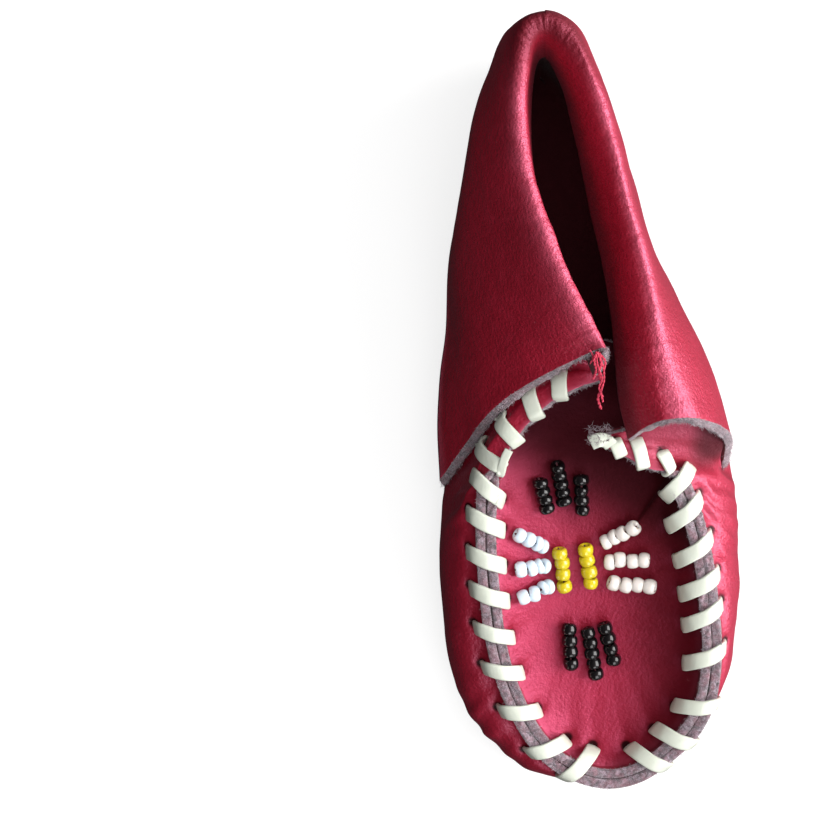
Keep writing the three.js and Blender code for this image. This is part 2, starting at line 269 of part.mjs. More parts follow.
function volume(g) {
  const p = g.attributes.position, ix = g.index.array;
  const a = new THREE.Vector3(), b = new THREE.Vector3(), c = new THREE.Vector3();
  let s = 0;
  for (let k = 0; k < ix.length; k += 3) {
    a.fromBufferAttribute(p, ix[k]); b.fromBufferAttribute(p, ix[k + 1]); c.fromBufferAttribute(p, ix[k + 2]);
    s += a.dot(b.cross(c)) / 6;
  }
  return s;
}

function outward(g) {
  if (volume(g) < 0) {
    const ix = Array.from(g.index.array);
    for (let k = 0; k < ix.length; k += 3) [ix[k + 1], ix[k + 2]] = [ix[k + 2], ix[k + 1]];
    g.setIndex(ix);
  }
  return g;
}

// cross-sections of a flat ribbon along a path. rows: {p, out, w, t}; out is the direction its outer face looks in
function ribbonSections(rows, grow) {
  const n = rows.length;
  return rows.map((r, k) => {
    const a = rows[Math.max(k - 1, 0)].p, b = rows[Math.min(k + 1, n - 1)].p;
    const along = b.clone().sub(a).normalize();
    const side = along.clone().cross(r.out).normalize();
    const up = side.clone().cross(along).normalize();
    const w = r.w / 2 + grow, t = r.t / 2 + grow, p = r.p.clone();
    if (k === 0) p.addScaledVector(along, -grow);
    if (k === n - 1) p.addScaledVector(along, grow);
    return [[-w, -t], [w, -t], [w, t], [-w, t]].map(([x, y]) => p.clone().addScaledVector(side, x).addScaledVector(up, y));
  });
}

// the ribbon as one solid: the union of its short lengths, so that turns that touch join cleanly
function ribbonSolid(rows, grow = 0) {
  const q = ribbonSections(rows, grow);
  let all = null;
  for (let k = 0; k < q.length - 1; k++) {
    const pos = [...q[k], ...q[k + 1]].flatMap((p) => [p.x, p.y, p.z]);
    const tri = [0, 2, 1, 0, 3, 2, 4, 5, 6, 4, 6, 7];
    for (let e = 0; e < 4; e++) { const f = (e + 1) % 4; tri.push(e, f, f + 4, e, f + 4, e + 4); }
    const s = solid(outward(bufferOf(pos, tri)));
    all = all ? all.add(s) : s;
  }
  return all;
}

// path of one lacing: over the seam from the plug to the wall, then under it to the next turn
function lacePath(table) {
  const rows = [];
  const at = (r, s, n, u) => V(r.slice(0, 3)).addScaledVector(V(r.slice(3, 6)), s)
    .addScaledVector(V(r.slice(6, 9)), n).addScaledVector(V(r.slice(9, 12)), u);
  const dir = (r, n, u) => V(r.slice(6, 9)).multiplyScalar(n).addScaledVector(V(r.slice(9, 12)), u).normalize();
  table.forEach((r, k) => {
    const single = r[12] < 1, h = r[12], c = h + LACE_THICK / 2 + 0.32;
    const seq = single
      ? [[-0.5, -c - 0.3, -2.6, -1, -0.2, 0], [-0.4, -c, -1.0, -1, 0.2, 1], [-0.2, -0.7, 0.55, -0.6, 0.8, 1],
         [0, 0.35, 0.75, 0.3, 1, 1], [0.2, c, 0.0, 1, 0.3, 1], [0.4, c, -1.8, 1, 0, 1], [0.5, c - 0.1, -3.1, 1, 0, 0], [0.55, 0, -3.9, 0.4, -1, 0]]
      : [[-1.15, -2.5, -4.2, -0.3, -1, 0], [-1.0, -2.85, -3.0, -1, -0.1, 0], [-0.8, -2.5, -1.5, -1, 0.3, 1],
         [-0.45, -1.75, 0.1, -0.7, 0.8, 1], [0, 0, 0.8, 0, 1, 1], [0.45, 1.8, 0.1, 0.7, 0.8, 1],
         [0.8, 2.45, -1.5, 1, 0.2, 1], [1.0, 2.75, -2.9, 1, -0.2, 0], [1.15, 1.9, -4.1, 0.3, -1, 0]];
    for (const [s, n, u, dn, du, wide] of seq) {
      rows.push({ p: at(r, s, n, u), out: dir(r, dn, du), w: wide ? LACE_WIDTH : single ? LACE_IN_HOLE * 0.7 : LACE_IN_HOLE, t: LACE_THICK });
    }
    if (k < table.length - 1) {
      const q = table[k + 1], s2 = q[12] < 1;
      const a = at(r, 1.2, single ? -0.9 : 0.2, single ? -4.3 : -4.9);
      const b = s2 ? at(q, -1.0, -1.6, -3.6) : at(q, -1.2, -1.3, -5.0);
      const m = a.clone().add(b).multiplyScalar(0.5);
      rows.push({ p: m, out: dir(r, 0, -1), w: s2 || single ? LACE_IN_HOLE * 0.7 : LACE_IN_HOLE, t: LACE_THICK });
    }
  });
  return rows;
}

const wasm = await Module();
wasm.setup();
function solid(g) {
  const c = g.clone();
  c.deleteAttribute('normal'); c.deleteAttribute('uv');
  const m = mergeVertices(c, 1e-4);
  return new wasm.Manifold(new wasm.Mesh({
    numProp: 3, vertProperties: new Float32Array(m.attributes.position.array), triVerts: new Uint32Array(m.index.array) }));
}
function geometryOf(man) {
  const parts = man.decompose();
  const big = parts.reduce((a, b) => (a.volume() > b.volume() ? a : b));
  const m = big.getMesh();
  const pos = [];
  for (let k = 0; k < m.numVert; k++) pos.push(m.vertProperties[k * m.numProp], m.vertProperties[k * m.numProp + 1], m.vertProperties[k * m.numProp + 2]);
  return bufferOf(pos, Array.from(m.triVerts));
}

const group = new THREE.Group();
group.name = 'moccasin';
function add(name, geometry, color, roughness, metalness = 0) {
  const m = new THREE.Mesh(geometry, new THREE.MeshStandardMaterial({ color, roughness, metalness }));
  m.name = name;
  group.add(m);
  return m;
}
const LEATHER_RED = 0xa82338, LEATHER_DARK = 0x8f1c30, LACE_CREAM = 0xe4e4d4;

// ---------------------------------------------------------------- bottom: sole and sides
const nB = BOTTOM.length;
const usB = [];
for (let s = 0; s < nB; s++) {
  usB.push(s);
  if (s < 3 || s > nB - 4 || (s >= 21 && s <= 27)) usB.push(s + 0.5);
}
const bOut = sampleTable(BOTTOM, true, usB, null);
bOut[0].forEach((p) => { p.z = 0; });
bOut[1].forEach((p) => { p.z = Math.max(p.z, 1.8); });
let bN = gridNormals(bOut, true, 1);
{ // normals look out of the shoe
  const mid = Math.floor(usB.length / 4);
  const d = bN[2][mid].dot(new THREE.Vector3(bOut[2][mid].x, bOut[2][mid].y, 0));
  if (d < 0) bN = bN.map((r) => r.map((n) => n.negate()));
}
const bIn = offsetGrid(bOut, bN, -LEATHER);
bIn[0].forEach((p, u) => {
  const n = new THREE.Vector3(bN[2][u].x, bN[2][u].y, 0).normalize();
  p.copy(bOut[0][u]).addScaledVector(n, -LEATHER * 0.4); p.z = LEATHER;
});
bIn[1].forEach((p) => { p.z = Math.max(p.z, LEATHER + 0.9); });
const bottomShell = shell(bOut, bIn, true, 'cap');

// ---------------------------------------------------------------- vamp plug with the tongue
const nP = PLUG.length;
const centre = V(PLUG_CENTRE);
function crown(y) {
  const c = PLUG_CROWN;
  if (y <= c[0][0]) return c[0][1];
  for (let k = 1; k < c.length; k++) if (y <= c[k][0]) {
    const f = (y - c[k - 1][0]) / (c[k][0] - c[k - 1][0]);
    return c[k - 1][1] * (1 - f) + c[k][1] * f;
  }
  return c[c.length - 1][1];
}
const usP = [];
for (let s = 0; s < nP; s++) { usP.push(s); if (s < 2 || s > nP - 4) usP.push(s + 0.5); }
const pEdge = sampleTable(PLUG, true, usP, null);
const fRings = [0.3, 0.56, 0.78, 0.93];
const pOut = fRings.map((f) => pEdge[0].map((b) => {
  const p = centre.clone().lerp(b, f);
  const w = Math.pow(f, 4);
  p.z = crown(p.y) * (1 - w) + b.z * w;
  return p;
}));
pOut.push(pEdge[0], pEdge[1]);
let pN = gridNormals(pOut, true, 1);
if (pN[1][0].z < 0) pN = pN.map((r) => r.map((n) => n.negate()));
const pIn = offsetGrid(pOut, pN, -LEATHER);
const cTop = centre.clone(); cTop.z = crown(cTop.y);
const cBot = cTop.clone(); cBot.z -= LEATHER;
const plugShell = shell(pOut, pIn, true, 'fan', [cTop, cBot]);

// ---------------------------------------------------------------- lacings and their slits
const rowsL = lacePath(LACE_LEFT), rowsR = lacePath(LACE_RIGHT);
const laceL = ribbonSolid(rowsL), laceR = ribbonSolid(rowsR);
const cut = ribbonSolid(rowsL, SLIT_CLEAR).add(ribbonSolid(rowsR, SLIT_CLEAR)).add(laceL).add(laceR);
add('sole_and_sides', geometryOf(solid(bottomShell).subtract(cut)), LEATHER_RED, 0.42);
const plugMesh = add('vamp_plug', geometryOf(solid(plugShell).subtract(cut)), LEATHER_RED, 0.4);
add('lace_left', geometryOf(laceL), LACE_CREAM, 0.55);
add('lace_right', geometryOf(laceR), LACE_CREAM, 0.55);

// ---------------------------------------------------------------- ankle cuff
const nC = CUFF.length - 1;
function cuffPiece(us, vs) {
  // normals are taken from a dense sampling of the whole sheet so that neighbouring pieces agree
  const out = sampleTable(CUFF, false, us, vs);
  const e = 0.02;
  const a = sampleTable(CUFF, false, us.map((u) => Math.max(u - e, 0)), vs), b = sampleTable(CUFF, false, us.map((u) => Math.min(u + e, nC)), vs);
  const c = sampleTable(CUFF, false, us, vs.map((v) => Math.max(v - e, 0))), d = sampleTable(CUFF, false, us, vs.map((v) => Math.min(v + e, 5)));
  const n = out.map((row, v) => row.map((p, u) => {
    const du = b[v][u].clone().sub(a[v][u]), dv = d[v][u].clone().sub(c[v][u]);
    return dv.cross(du).normalize();
  }));
  return [out, n];
}
function cuffShell(us, vs, thick) {
  const [out, n] = cuffPiece(us, vs);
  const flesh = out.map((row, i) => row.map((p, u) => p.clone().addScaledVector(n[i][u], -(thick ? thick[i] : LEATHER))));
  return shell(out, flesh, false);
}
const vsStand = [0, 0.5, 1, 1.5, 2, 2.3, 2.62, 2.94], vsFlap = [3.025, 3.3, 3.65, 4, 4.5, 5];
// the hide is squeezed thin where it turns over at the top of the standing part
const foldThick = [LEATHER, LEATHER, LEATHER, LEATHER, LEATHER, 0.9 * LEATHER, 0.62 * LEATHER, 0.4 * LEATHER];
add('cuff_standing', cuffShell(range(0, nC, 28), vsStand, foldThick), LEATHER_DARK, 0.45);
add('cuff_heel', cuffShell(range(HEEL_FROM, HEEL_TO, 12), vsFlap), LEATHER_RED, 0.42);
add('cuff_flap_right', cuffShell(range(0, 7, 12), vsFlap), LEATHER_RED, 0.42);
add('cuff_flap_left', cuffShell(range(13, nC, 10), vsFlap), LEATHER_RED, 0.42);

// ---------------------------------------------------------------- bead rows
const ray = new THREE.Raycaster();
const plugTop = new THREE.Mesh(plugShell, new THREE.MeshBasicMaterial({ side: THREE.DoubleSide }));
plugTop.updateMatrixWorld(true);
function plugHeight(x, y) {
  ray.set(new THREE.Vector3(x, y, 100), new THREE.Vector3(0, 0, -1));
  const hit = ray.intersectObject(plugTop);
  return hit.length ? hit[0].point.z : crown(y);
}
function beadRow(centres) {
  const pts = centres.map(V);
  const a = pts[0].clone(), b = pts[pts.length - 1].clone(), n = pts.length;
  const top = (p, d) => Math.max(plugHeight(p.x, p.y), plugHeight(p.x + d.y, p.y - d.x), plugHeight(p.x - d.y, p.y + d.x));
  const flat = b.clone().sub(a).setZ(0).normalize();
  a.z = top(a, flat) + BEAD_R + BEAD_LIFT; b.z = top(b, flat) + BEAD_R + BEAD_LIFT;
  let lift = 0;
  for (let k = 0; k <= 8; k++) {
    const p = a.clone().lerp(b, k / 8);
    lift = Math.max(lift, top(p, flat) + BEAD_R + BEAD_LIFT - p.z);
  }
  a.z += lift; b.z += lift;
  const dir = b.clone().sub(a), len = dir.length(), pitch = len / (n - 1);
  dir.normalize();
  const prof = [new THREE.Vector2(0, -pitch / 2 - 0.02)];
  for (let k = 0; k < n; k++) {
    const y = k * pitch, q = pitch / 2;
    prof.push(new THREE.Vector2(BEAD_CORE, y - q));
    prof.push(new THREE.Vector2(BEAD_R * 0.94, y - q * 0.5));
    prof.push(new THREE.Vector2(BEAD_R * 0.94, y + q * 0.5));
  }
  prof.push(new THREE.Vector2(BEAD_CORE, (n - 0.5) * pitch), new THREE.Vector2(0, (n - 0.5) * pitch + 0.02));
  const g = new THREE.LatheGeometry(prof, 8);
  g.deleteAttribute('normal'); g.deleteAttribute('uv');
  const m = new THREE.Matrix4().makeRotationFromQuaternion(
    new THREE.Quaternion().setFromUnitVectors(new THREE.Vector3(0, 1, 0), dir)).setPosition(a);
  g.applyMatrix4(m);
  return outward(mergeVertices(g, 1e-4));
}
const BEAD_COLOURS = { white: 0xe9eef2, yellow: 0xe0a90c, black: 0x0c0a0c };
for (const [name, centres] of Object.entries(BEADS)) {
  add('beads_' + name, beadRow(centres), BEAD_COLOURS[name.split('_')[0]], 0.15);
}

// ---------------------------------------------------------------- threads
function thread(points, radius, steps) {
  const c = new THREE.Shape();
  c.absarc(0, 0, radius, 0, Math.PI * 2, false);
  const g = new THREE.ExtrudeGeometry(c, {
    steps, curveSegments: 6, bevelEnabled: false, extrudePath: new THREE.CatmullRomCurve3(points, false, 'catmullrom', 0.5) });
  g.deleteAttribute('normal'); g.deleteAttribute('uv');
  return outward(mergeVertices(g, 1e-4));
}
{ // back seam of the quarters, a raised stitched thread up the heel
  const heel = sampleTable(BOTTOM, true, [24.95], null);
  const wall = new THREE.CatmullRomCurve3(heel.slice(1, 5).map((r) => r[0]), false, 'catmullrom', 0.5);
  const pts = range(0.05, 0.57, 7).map((t, k) => {
    const p = wall.getPoint(t);
    p.y += THREAD_R + 0.45; p.x += (k % 2 ? 0.35 : -0.35);
    return p;
  });
  add('heel_seam_thread', thread(pts, THREAD_R, 14), 0xb79a8c, 0.7);
}
{ // frayed sewing thread at the front of the left flap
  const [o, n] = cuffPiece([18.9], [3.1, 3.3, 3.5, 3.75]);
  const pts = o.map((r, k) => r[0].clone().addScaledVector(n[k][0], THREAD_R + 0.35 + (k % 2) * 0.25));
  pts.forEach((p, k) => { p.x += k * 0.5; p.y -= k * 0.1; });
  add('cuff_front_thread', thread(pts, 0.2, 8), 0xb0202c, 0.7);
}

export default group;
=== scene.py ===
import math
import bpy
import numpy as np
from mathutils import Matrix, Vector


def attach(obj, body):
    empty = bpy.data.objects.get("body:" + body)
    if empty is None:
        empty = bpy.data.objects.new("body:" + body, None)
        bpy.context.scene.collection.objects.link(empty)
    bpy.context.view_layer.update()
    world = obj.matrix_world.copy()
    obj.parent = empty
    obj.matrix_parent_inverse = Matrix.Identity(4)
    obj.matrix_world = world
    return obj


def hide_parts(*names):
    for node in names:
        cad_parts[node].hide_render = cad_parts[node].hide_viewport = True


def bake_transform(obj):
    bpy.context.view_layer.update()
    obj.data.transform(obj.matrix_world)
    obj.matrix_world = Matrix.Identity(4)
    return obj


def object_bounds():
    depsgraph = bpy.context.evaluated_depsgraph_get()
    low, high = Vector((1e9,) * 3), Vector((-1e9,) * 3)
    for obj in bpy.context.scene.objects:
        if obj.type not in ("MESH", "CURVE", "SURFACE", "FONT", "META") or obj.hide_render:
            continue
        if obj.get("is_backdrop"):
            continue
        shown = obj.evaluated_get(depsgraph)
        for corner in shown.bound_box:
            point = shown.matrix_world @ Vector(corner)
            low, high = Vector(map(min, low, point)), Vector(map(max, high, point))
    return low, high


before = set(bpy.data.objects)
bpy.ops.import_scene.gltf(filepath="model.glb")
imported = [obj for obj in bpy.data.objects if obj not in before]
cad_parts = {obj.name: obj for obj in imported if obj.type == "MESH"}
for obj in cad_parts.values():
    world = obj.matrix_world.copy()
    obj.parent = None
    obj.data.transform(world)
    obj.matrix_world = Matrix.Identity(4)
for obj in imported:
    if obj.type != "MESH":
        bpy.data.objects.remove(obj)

START_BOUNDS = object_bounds()

# Leather baby moccasin. Tables in millimetres, in the frame's own axes.
WORLD, KEY, TOP, FILL = 1.0, 4.4, 3.4, 1.0

BOTTOM = [[[3.22,-52.81,0.0],[3.32,-54.86,2.4],[3.35,-55.61,6.0],[3.34,-55.61,7.52],[3.29,-55.62,8.85],[3.2,-55.63,9.96],[3.08,-55.64,10.6],[3.08,-55.64,13.0]],
    [[6.56,-51.88,0.0],[7.43,-53.73,2.4],[7.75,-54.41,6.0],[7.76,-54.41,7.68],[7.78,-54.41,9.16],[7.83,-54.41,10.39],[7.89,-54.41,11.1],[7.89,-54.41,13.5]],
    [[10.26,-49.36,0.0],[11.57,-50.93,2.4],[12.05,-51.51,6.5],[12.05,-51.5,8.32],[12.06,-51.47,9.91],[12.08,-51.41,11.23],[12.1,-51.32,12.0],[12.1,-51.32,14.4]],
    [[13.79,-45.85,0.0],[15.45,-47.07,2.4],[16.05,-47.51,7.0],[16.03,-47.52,9.05],[15.95,-47.56,10.84],[15.81,-47.63,12.33],[15.61,-47.72,13.2],[15.61,-47.72,
    15.6]],[[16.09,-41.38,0.0],[17.96,-42.21,2.4],[18.65,-42.51,7.5],[18.61,-42.54,9.84],[18.48,-42.64,11.9],[18.23,-42.84,13.61],[17.88,-43.11,14.6],[17.88,
    -43.11,17.0]],[[17.84,-36.59,0.0],[19.83,-37.12,2.4],[20.55,-37.31,8.0],[20.46,-37.35,10.64],[20.14,-37.5,12.96],[19.53,-37.77,14.88],[18.69,-38.15,16.0],
    [18.69,-38.15,18.4]],[[18.68,-31.63,0.0],[20.71,-31.91,2.4],[21.45,-32.01,8.0],[21.31,-32.07,11.1],[20.85,-32.27,13.83],[19.95,-32.67,16.08],[18.71,-33.2,
    17.4],[18.71,-33.2,19.8]],[[19.26,-26.23,0.0],[21.3,-26.36,2.4],[22.05,-26.41,8.0],[21.85,-26.49,11.56],[21.19,-26.78,14.7],[19.9,-27.34,17.29],[18.15,
    -28.1,18.8],[18.15,-28.1,21.2]],[[19.35,-21.31,0.0],[21.4,-21.31,2.4],[22.15,-21.31,8.0],[21.91,-21.38,12.03],[21.11,-21.63,15.56],[19.56,-22.1,18.49],
    [17.43,-22.75,20.2],[17.43,-22.75,22.6]],[[19.26,-17.19,0.0],[21.3,-17.06,2.4],[22.05,-17.01,8.0],[21.76,-17.04,12.49],[20.78,-17.12,16.43],[18.87,-17.29,
    19.7],[16.27,-17.52,21.6],[16.27,-17.52,24.0]],[[18.87,-13.72,0.0],[20.9,-13.49,2.4],[21.65,-13.41,8.0],[21.3,-13.37,12.95],[20.11,-13.22,17.3],[17.8,-12.94,
    20.9],[14.66,-12.56,23.0],[14.66,-12.56,25.4]],[[18.57,-11.11,0.0],[20.6,-10.89,2.4],[21.35,-10.81,8.0],[20.91,-10.71,13.35],[19.4,-10.38,18.04],[16.47,
    -9.75,21.93],[12.48,-8.87,24.2],[12.48,-8.87,26.6]],[[18.48,-10.11,0.0],[20.51,-9.82,2.4],[21.25,-9.71,8.0],[19.97,-9.75,13.56],[18.87,-8.87,18.81],[16.82,
    -7.78,23.51],[10.13,-8.33,27.6],[8.25,-8.49,28.2]],[[18.3,-9.21,0.0],[20.31,-8.84,2.4],[21.05,-8.71,8.0],[19.04,-8.78,13.77],[18.34,-7.35,19.57],[17.17,
    -5.82,25.1],[7.25,-6.55,29.0],[4.45,-6.76,29.6]],[[18.11,-8.1,0.0],[20.12,-7.67,2.4],[20.85,-7.51,8.0],[18.11,-7.81,13.99],[17.81,-5.83,20.33],[17.52,-3.85,
    26.68],[4.69,-4.11,30.3],[0.42,-4.2,30.6]],[[17.42,-5.13,0.0],[19.42,-4.68,2.4],[20.15,-4.51,8.0],[17.59,-3.94,14.19],[17.07,-2.29,20.66],[16.57,-0.62,
    27.14],[8.9,-1.6,30.7],[6.34,-1.93,31.0]],[[16.38,-0.46,0.0],[18.34,0.16,2.4],[19.05,0.39,8.0],[17.07,-0.07,14.38],[16.34,1.26,20.99],[15.62,2.61,27.6],
    [8.65,1.93,32.5],[5.66,1.63,33.5]],[[13.86,6.02,0.0],[15.76,6.8,2.4],[16.45,7.09,8.0],[14.67,6.38,14.42],[13.89,7.54,21.04],[13.11,8.7,27.67],[7.43,8.01,
    32.5],[5.0,7.71,33.5]],[[10.71,13.31,0.0],[12.57,14.18,2.4],[13.25,14.49,8.0],[11.31,13.59,14.91],[10.48,14.53,21.58],[9.66,15.47,28.25],[5.82,14.61,32.5],
    [4.17,14.24,33.5]],[[7.09,20.65,0.0],[8.96,21.49,2.4],[9.65,21.79,8.0],[7.4,20.92,15.93],[6.81,21.64,22.89],[6.21,22.36,29.84],[4.77,21.61,32.3],[3.32,
    20.87,33.5]],[[4.33,27.7,0.0],[6.25,28.42,2.4],[6.95,28.69,8.0],[4.65,28.02,16.97],[4.3,28.64,23.92],[3.96,29.26,30.87],[2.92,28.36,32.4],[1.89,27.47,33.6]],
    [[1.81,34.56,0.0],[3.74,35.24,2.4],[4.45,35.49,8.0],[2.38,34.71,18.0],[2.21,35.2,24.95],[2.05,35.69,31.9],[1.26,34.97,33.4],[0.47,34.25,34.6]],[[-0.35,
    40.95,0.0],[1.55,41.71,2.4],[2.25,41.99,8.0],[0.28,41.31,19.0],[0.16,41.68,25.96],[0.03,42.05,32.92],[-0.46,41.42,34.4],[-0.96,40.79,35.6]],[[-2.3,44.97,
    0.0],[-0.58,46.08,2.4],[0.05,46.49,8.0],[-1.43,46.22,20.01],[-1.67,46.85,26.71],[-1.91,47.48,33.4],[-2.1,46.77,33.75],[-2.3,46.06,34.1]],[[-5.27,48.66,
    0.0],[-3.87,50.15,2.4],[-3.35,50.69,8.0],[-3.96,50.34,21.13],[-4.09,51.19,27.56],[-4.21,52.05,34.0],[-4.07,50.97,34.3],[-3.92,49.9,34.6]],[[-7.04,50.71,
    0.0],[-7.27,52.74,2.4],[-7.35,53.49,8.0],[-6.89,53.87,20.98],[-7.16,53.78,27.71],[-7.42,53.69,34.44],[-7.2,53.06,34.77],[-6.97,52.42,35.1]],[[-9.51,47.87,
    0.0],[-11.0,49.28,2.4],[-11.55,49.79,8.0],[-11.03,49.8,21.24],[-11.49,50.61,27.91],[-11.96,51.42,34.58],[-11.48,50.67,34.84],[-11.0,49.91,35.1]],[[-12.57,
    43.99,0.0],[-14.39,44.94,2.4],[-15.05,45.29,8.0],[-13.35,44.83,20.19],[-13.68,45.76,27.05],[-14.03,46.69,33.9],[-12.96,46.11,34.25],[-11.89,45.53,34.6]],
    [[-14.12,39.05,0.0],[-16.12,39.52,2.4],[-16.85,39.69,8.0],[-15.26,39.5,19.1],[-15.37,40.48,25.92],[-15.49,41.47,32.75],[-13.84,40.8,33.17],[-12.18,40.12,
    33.6]],[[-15.19,32.4,0.0],[-17.21,32.76,2.4],[-17.95,32.89,8.0],[-16.67,32.58,18.04],[-16.54,33.88,24.57],[-16.46,35.18,31.1],[-13.14,33.85,33.1],[-11.72,
    33.27,34.1]],[[-16.58,25.1,0.0],[-18.61,25.39,2.4],[-19.35,25.49,8.0],[-18.24,25.14,16.89],[-17.69,26.68,22.63],[-17.19,28.23,28.37],[-12.22,26.77,32.5],
    [-10.09,26.14,33.5]],[[-17.36,17.04,0.0],[-19.4,17.22,2.4],[-20.15,17.29,8.0],[-19.42,17.17,15.61],[-18.24,18.91,20.63],[-17.11,20.64,25.67],[-10.58,19.84,
    32.5],[-7.78,19.5,33.5]],[[-17.95,9.52,0.0],[-20.0,9.65,2.4],[-20.75,9.69,8.0],[-20.06,9.72,14.37],[-18.18,11.33,19.69],[-16.33,12.93,25.02],[-8.77,12.97,
    32.5],[-5.53,12.98,33.5]],[[-18.25,2.01,0.0],[-20.3,2.07,2.4],[-21.05,2.09,8.0],[-20.41,2.19,13.21],[-17.83,4.43,19.04],[-15.28,6.68,24.89],[-7.18,7.51,
    32.5],[-3.7,7.87,33.5]],[[-18.35,-4.04,0.0],[-20.4,-4.02,2.4],[-21.15,-4.01,8.0],[-20.45,-4.59,12.57],[-17.07,-0.47,19.29],[-13.71,3.65,26.02],[-4.2,6.05,
    30.9],[-1.03,6.85,31.2]],[[-18.35,-9.1,0.0],[-20.4,-9.03,2.4],[-21.15,-9.01,8.0],[-20.48,-10.14,12.05],[-16.45,-4.48,19.49],[-12.43,1.17,26.95],[-2.71,
    3.74,30.7],[0.54,4.59,31.0]],[[-18.58,-10.51,0.0],[-20.61,-10.22,2.4],[-21.35,-10.11,8.0],[-20.68,-11.39,12.24],[-17.17,-6.45,19.21],[-13.53,-1.32,26.06],
    [-4.66,2.41,30.3],[-2.15,3.46,31.0]],[[-18.66,-11.39,0.0],[-20.7,-11.18,2.4],[-21.45,-11.11,8.0],[-20.88,-12.63,12.44],[-17.89,-8.43,18.93],[-14.63,-3.81,
    25.16],[-7.53,0.65,29.8],[-5.53,1.9,30.4]],[[-18.78,-12.49,0.0],[-20.81,-12.21,2.4],[-21.55,-12.11,8.0],[-21.08,-13.88,12.63],[-18.61,-10.4,18.64],[-15.72,
    -6.3,24.27],[-10.07,-1.78,29.1],[-8.48,-0.51,29.6]],[[-18.97,-13.63,0.0],[-21.0,-13.4,2.4],[-21.75,-13.31,8.0],[-21.28,-15.13,12.83],[-19.33,-12.37,18.36],
    [-16.82,-8.79,23.38],[-12.5,-4.89,28.0],[-11.29,-3.78,28.6]],[[-19.05,-14.83,0.0],[-21.1,-14.74,2.4],[-21.85,-14.71,8.0],[-21.48,-16.38,13.02],[-20.06,
    -14.34,18.08],[-17.92,-11.28,22.48],[-14.5,-8.0,26.7],[-13.53,-7.08,27.4]],[[-19.15,-18.05,0.0],[-21.2,-18.02,2.4],[-21.95,-18.01,8.0],[-21.68,-17.62,13.21],
    [-20.78,-16.31,17.8],[-19.02,-13.77,21.59],[-16.62,-10.3,23.8],[-16.62,-10.3,26.2]],[[-19.15,-21.98,0.0],[-21.2,-22.0,2.4],[-21.95,-22.01,8.0],[-21.71,
    -21.66,12.82],[-20.88,-20.45,17.05],[-19.27,-18.12,20.56],[-17.07,-14.94,22.6],[-17.07,-14.94,25.0]],[[-19.05,-26.39,0.0],[-21.1,-26.48,2.4],[-21.85,-26.51,
    8.0],[-21.61,-26.19,12.36],[-20.79,-25.11,16.18],[-19.2,-23.01,19.35],[-17.04,-20.14,21.2],[-17.04,-20.14,23.6]],[[-18.76,-30.74,0.0],[-20.8,-30.94,2.4],
    [-21.55,-31.01,8.0],[-21.3,-30.76,11.83],[-20.45,-29.92,15.19],[-18.81,-28.29,17.98],[-16.57,-26.06,19.6],[-16.57,-26.06,22.0]],[[-18.21,-35.34,0.0],[-20.22,
    -35.76,2.4],[-20.95,-35.91,8.0],[-20.69,-35.73,11.23],[-19.81,-35.13,14.08],[-18.11,-33.95,16.43],[-15.79,-32.35,17.8],[-15.79,-32.35,20.2]],[[-16.74,-40.49,
    0.0],[-18.65,-41.24,2.4],[-19.35,-41.51,7.5],[-19.1,-41.35,10.3],[-18.26,-40.81,12.77],[-16.62,-39.75,14.81],[-14.39,-38.31,16.0],[-14.39,-38.31,18.4]],
    [[-14.62,-44.56,0.0],[-16.32,-45.7,2.4],[-16.95,-46.11,7.5],[-16.72,-45.98,9.78],[-15.94,-45.52,11.78],[-14.44,-44.64,13.43],[-12.38,-43.44,14.4],[-12.38,
    -43.44,16.8]],[[-12.14,-47.46,0.0],[-13.54,-48.96,2.4],[-14.05,-49.51,7.0],[-13.83,-49.45,8.98],[-13.1,-49.25,10.72],[-11.67,-48.86,12.16],[-9.72,-48.32,
    13.0],[-9.72,-48.32,15.4]],[[-8.19,-50.61,0.0],[-9.11,-52.44,2.4],[-9.45,-53.11,6.5],[-9.28,-53.07,8.25],[-8.7,-52.95,9.79],[-7.56,-52.72,11.06],[-6.02,
    -52.41,11.8],[-6.02,-52.41,14.2]],[[-2.81,-52.16,0.0],[-3.21,-54.17,2.4],[-3.35,-54.91,6.0],[-3.26,-54.9,7.65],[-2.97,-54.88,9.1],[-2.39,-54.84,10.3],[-1.6,
    -54.78,11.0],[-1.6,-54.78,13.4]]]
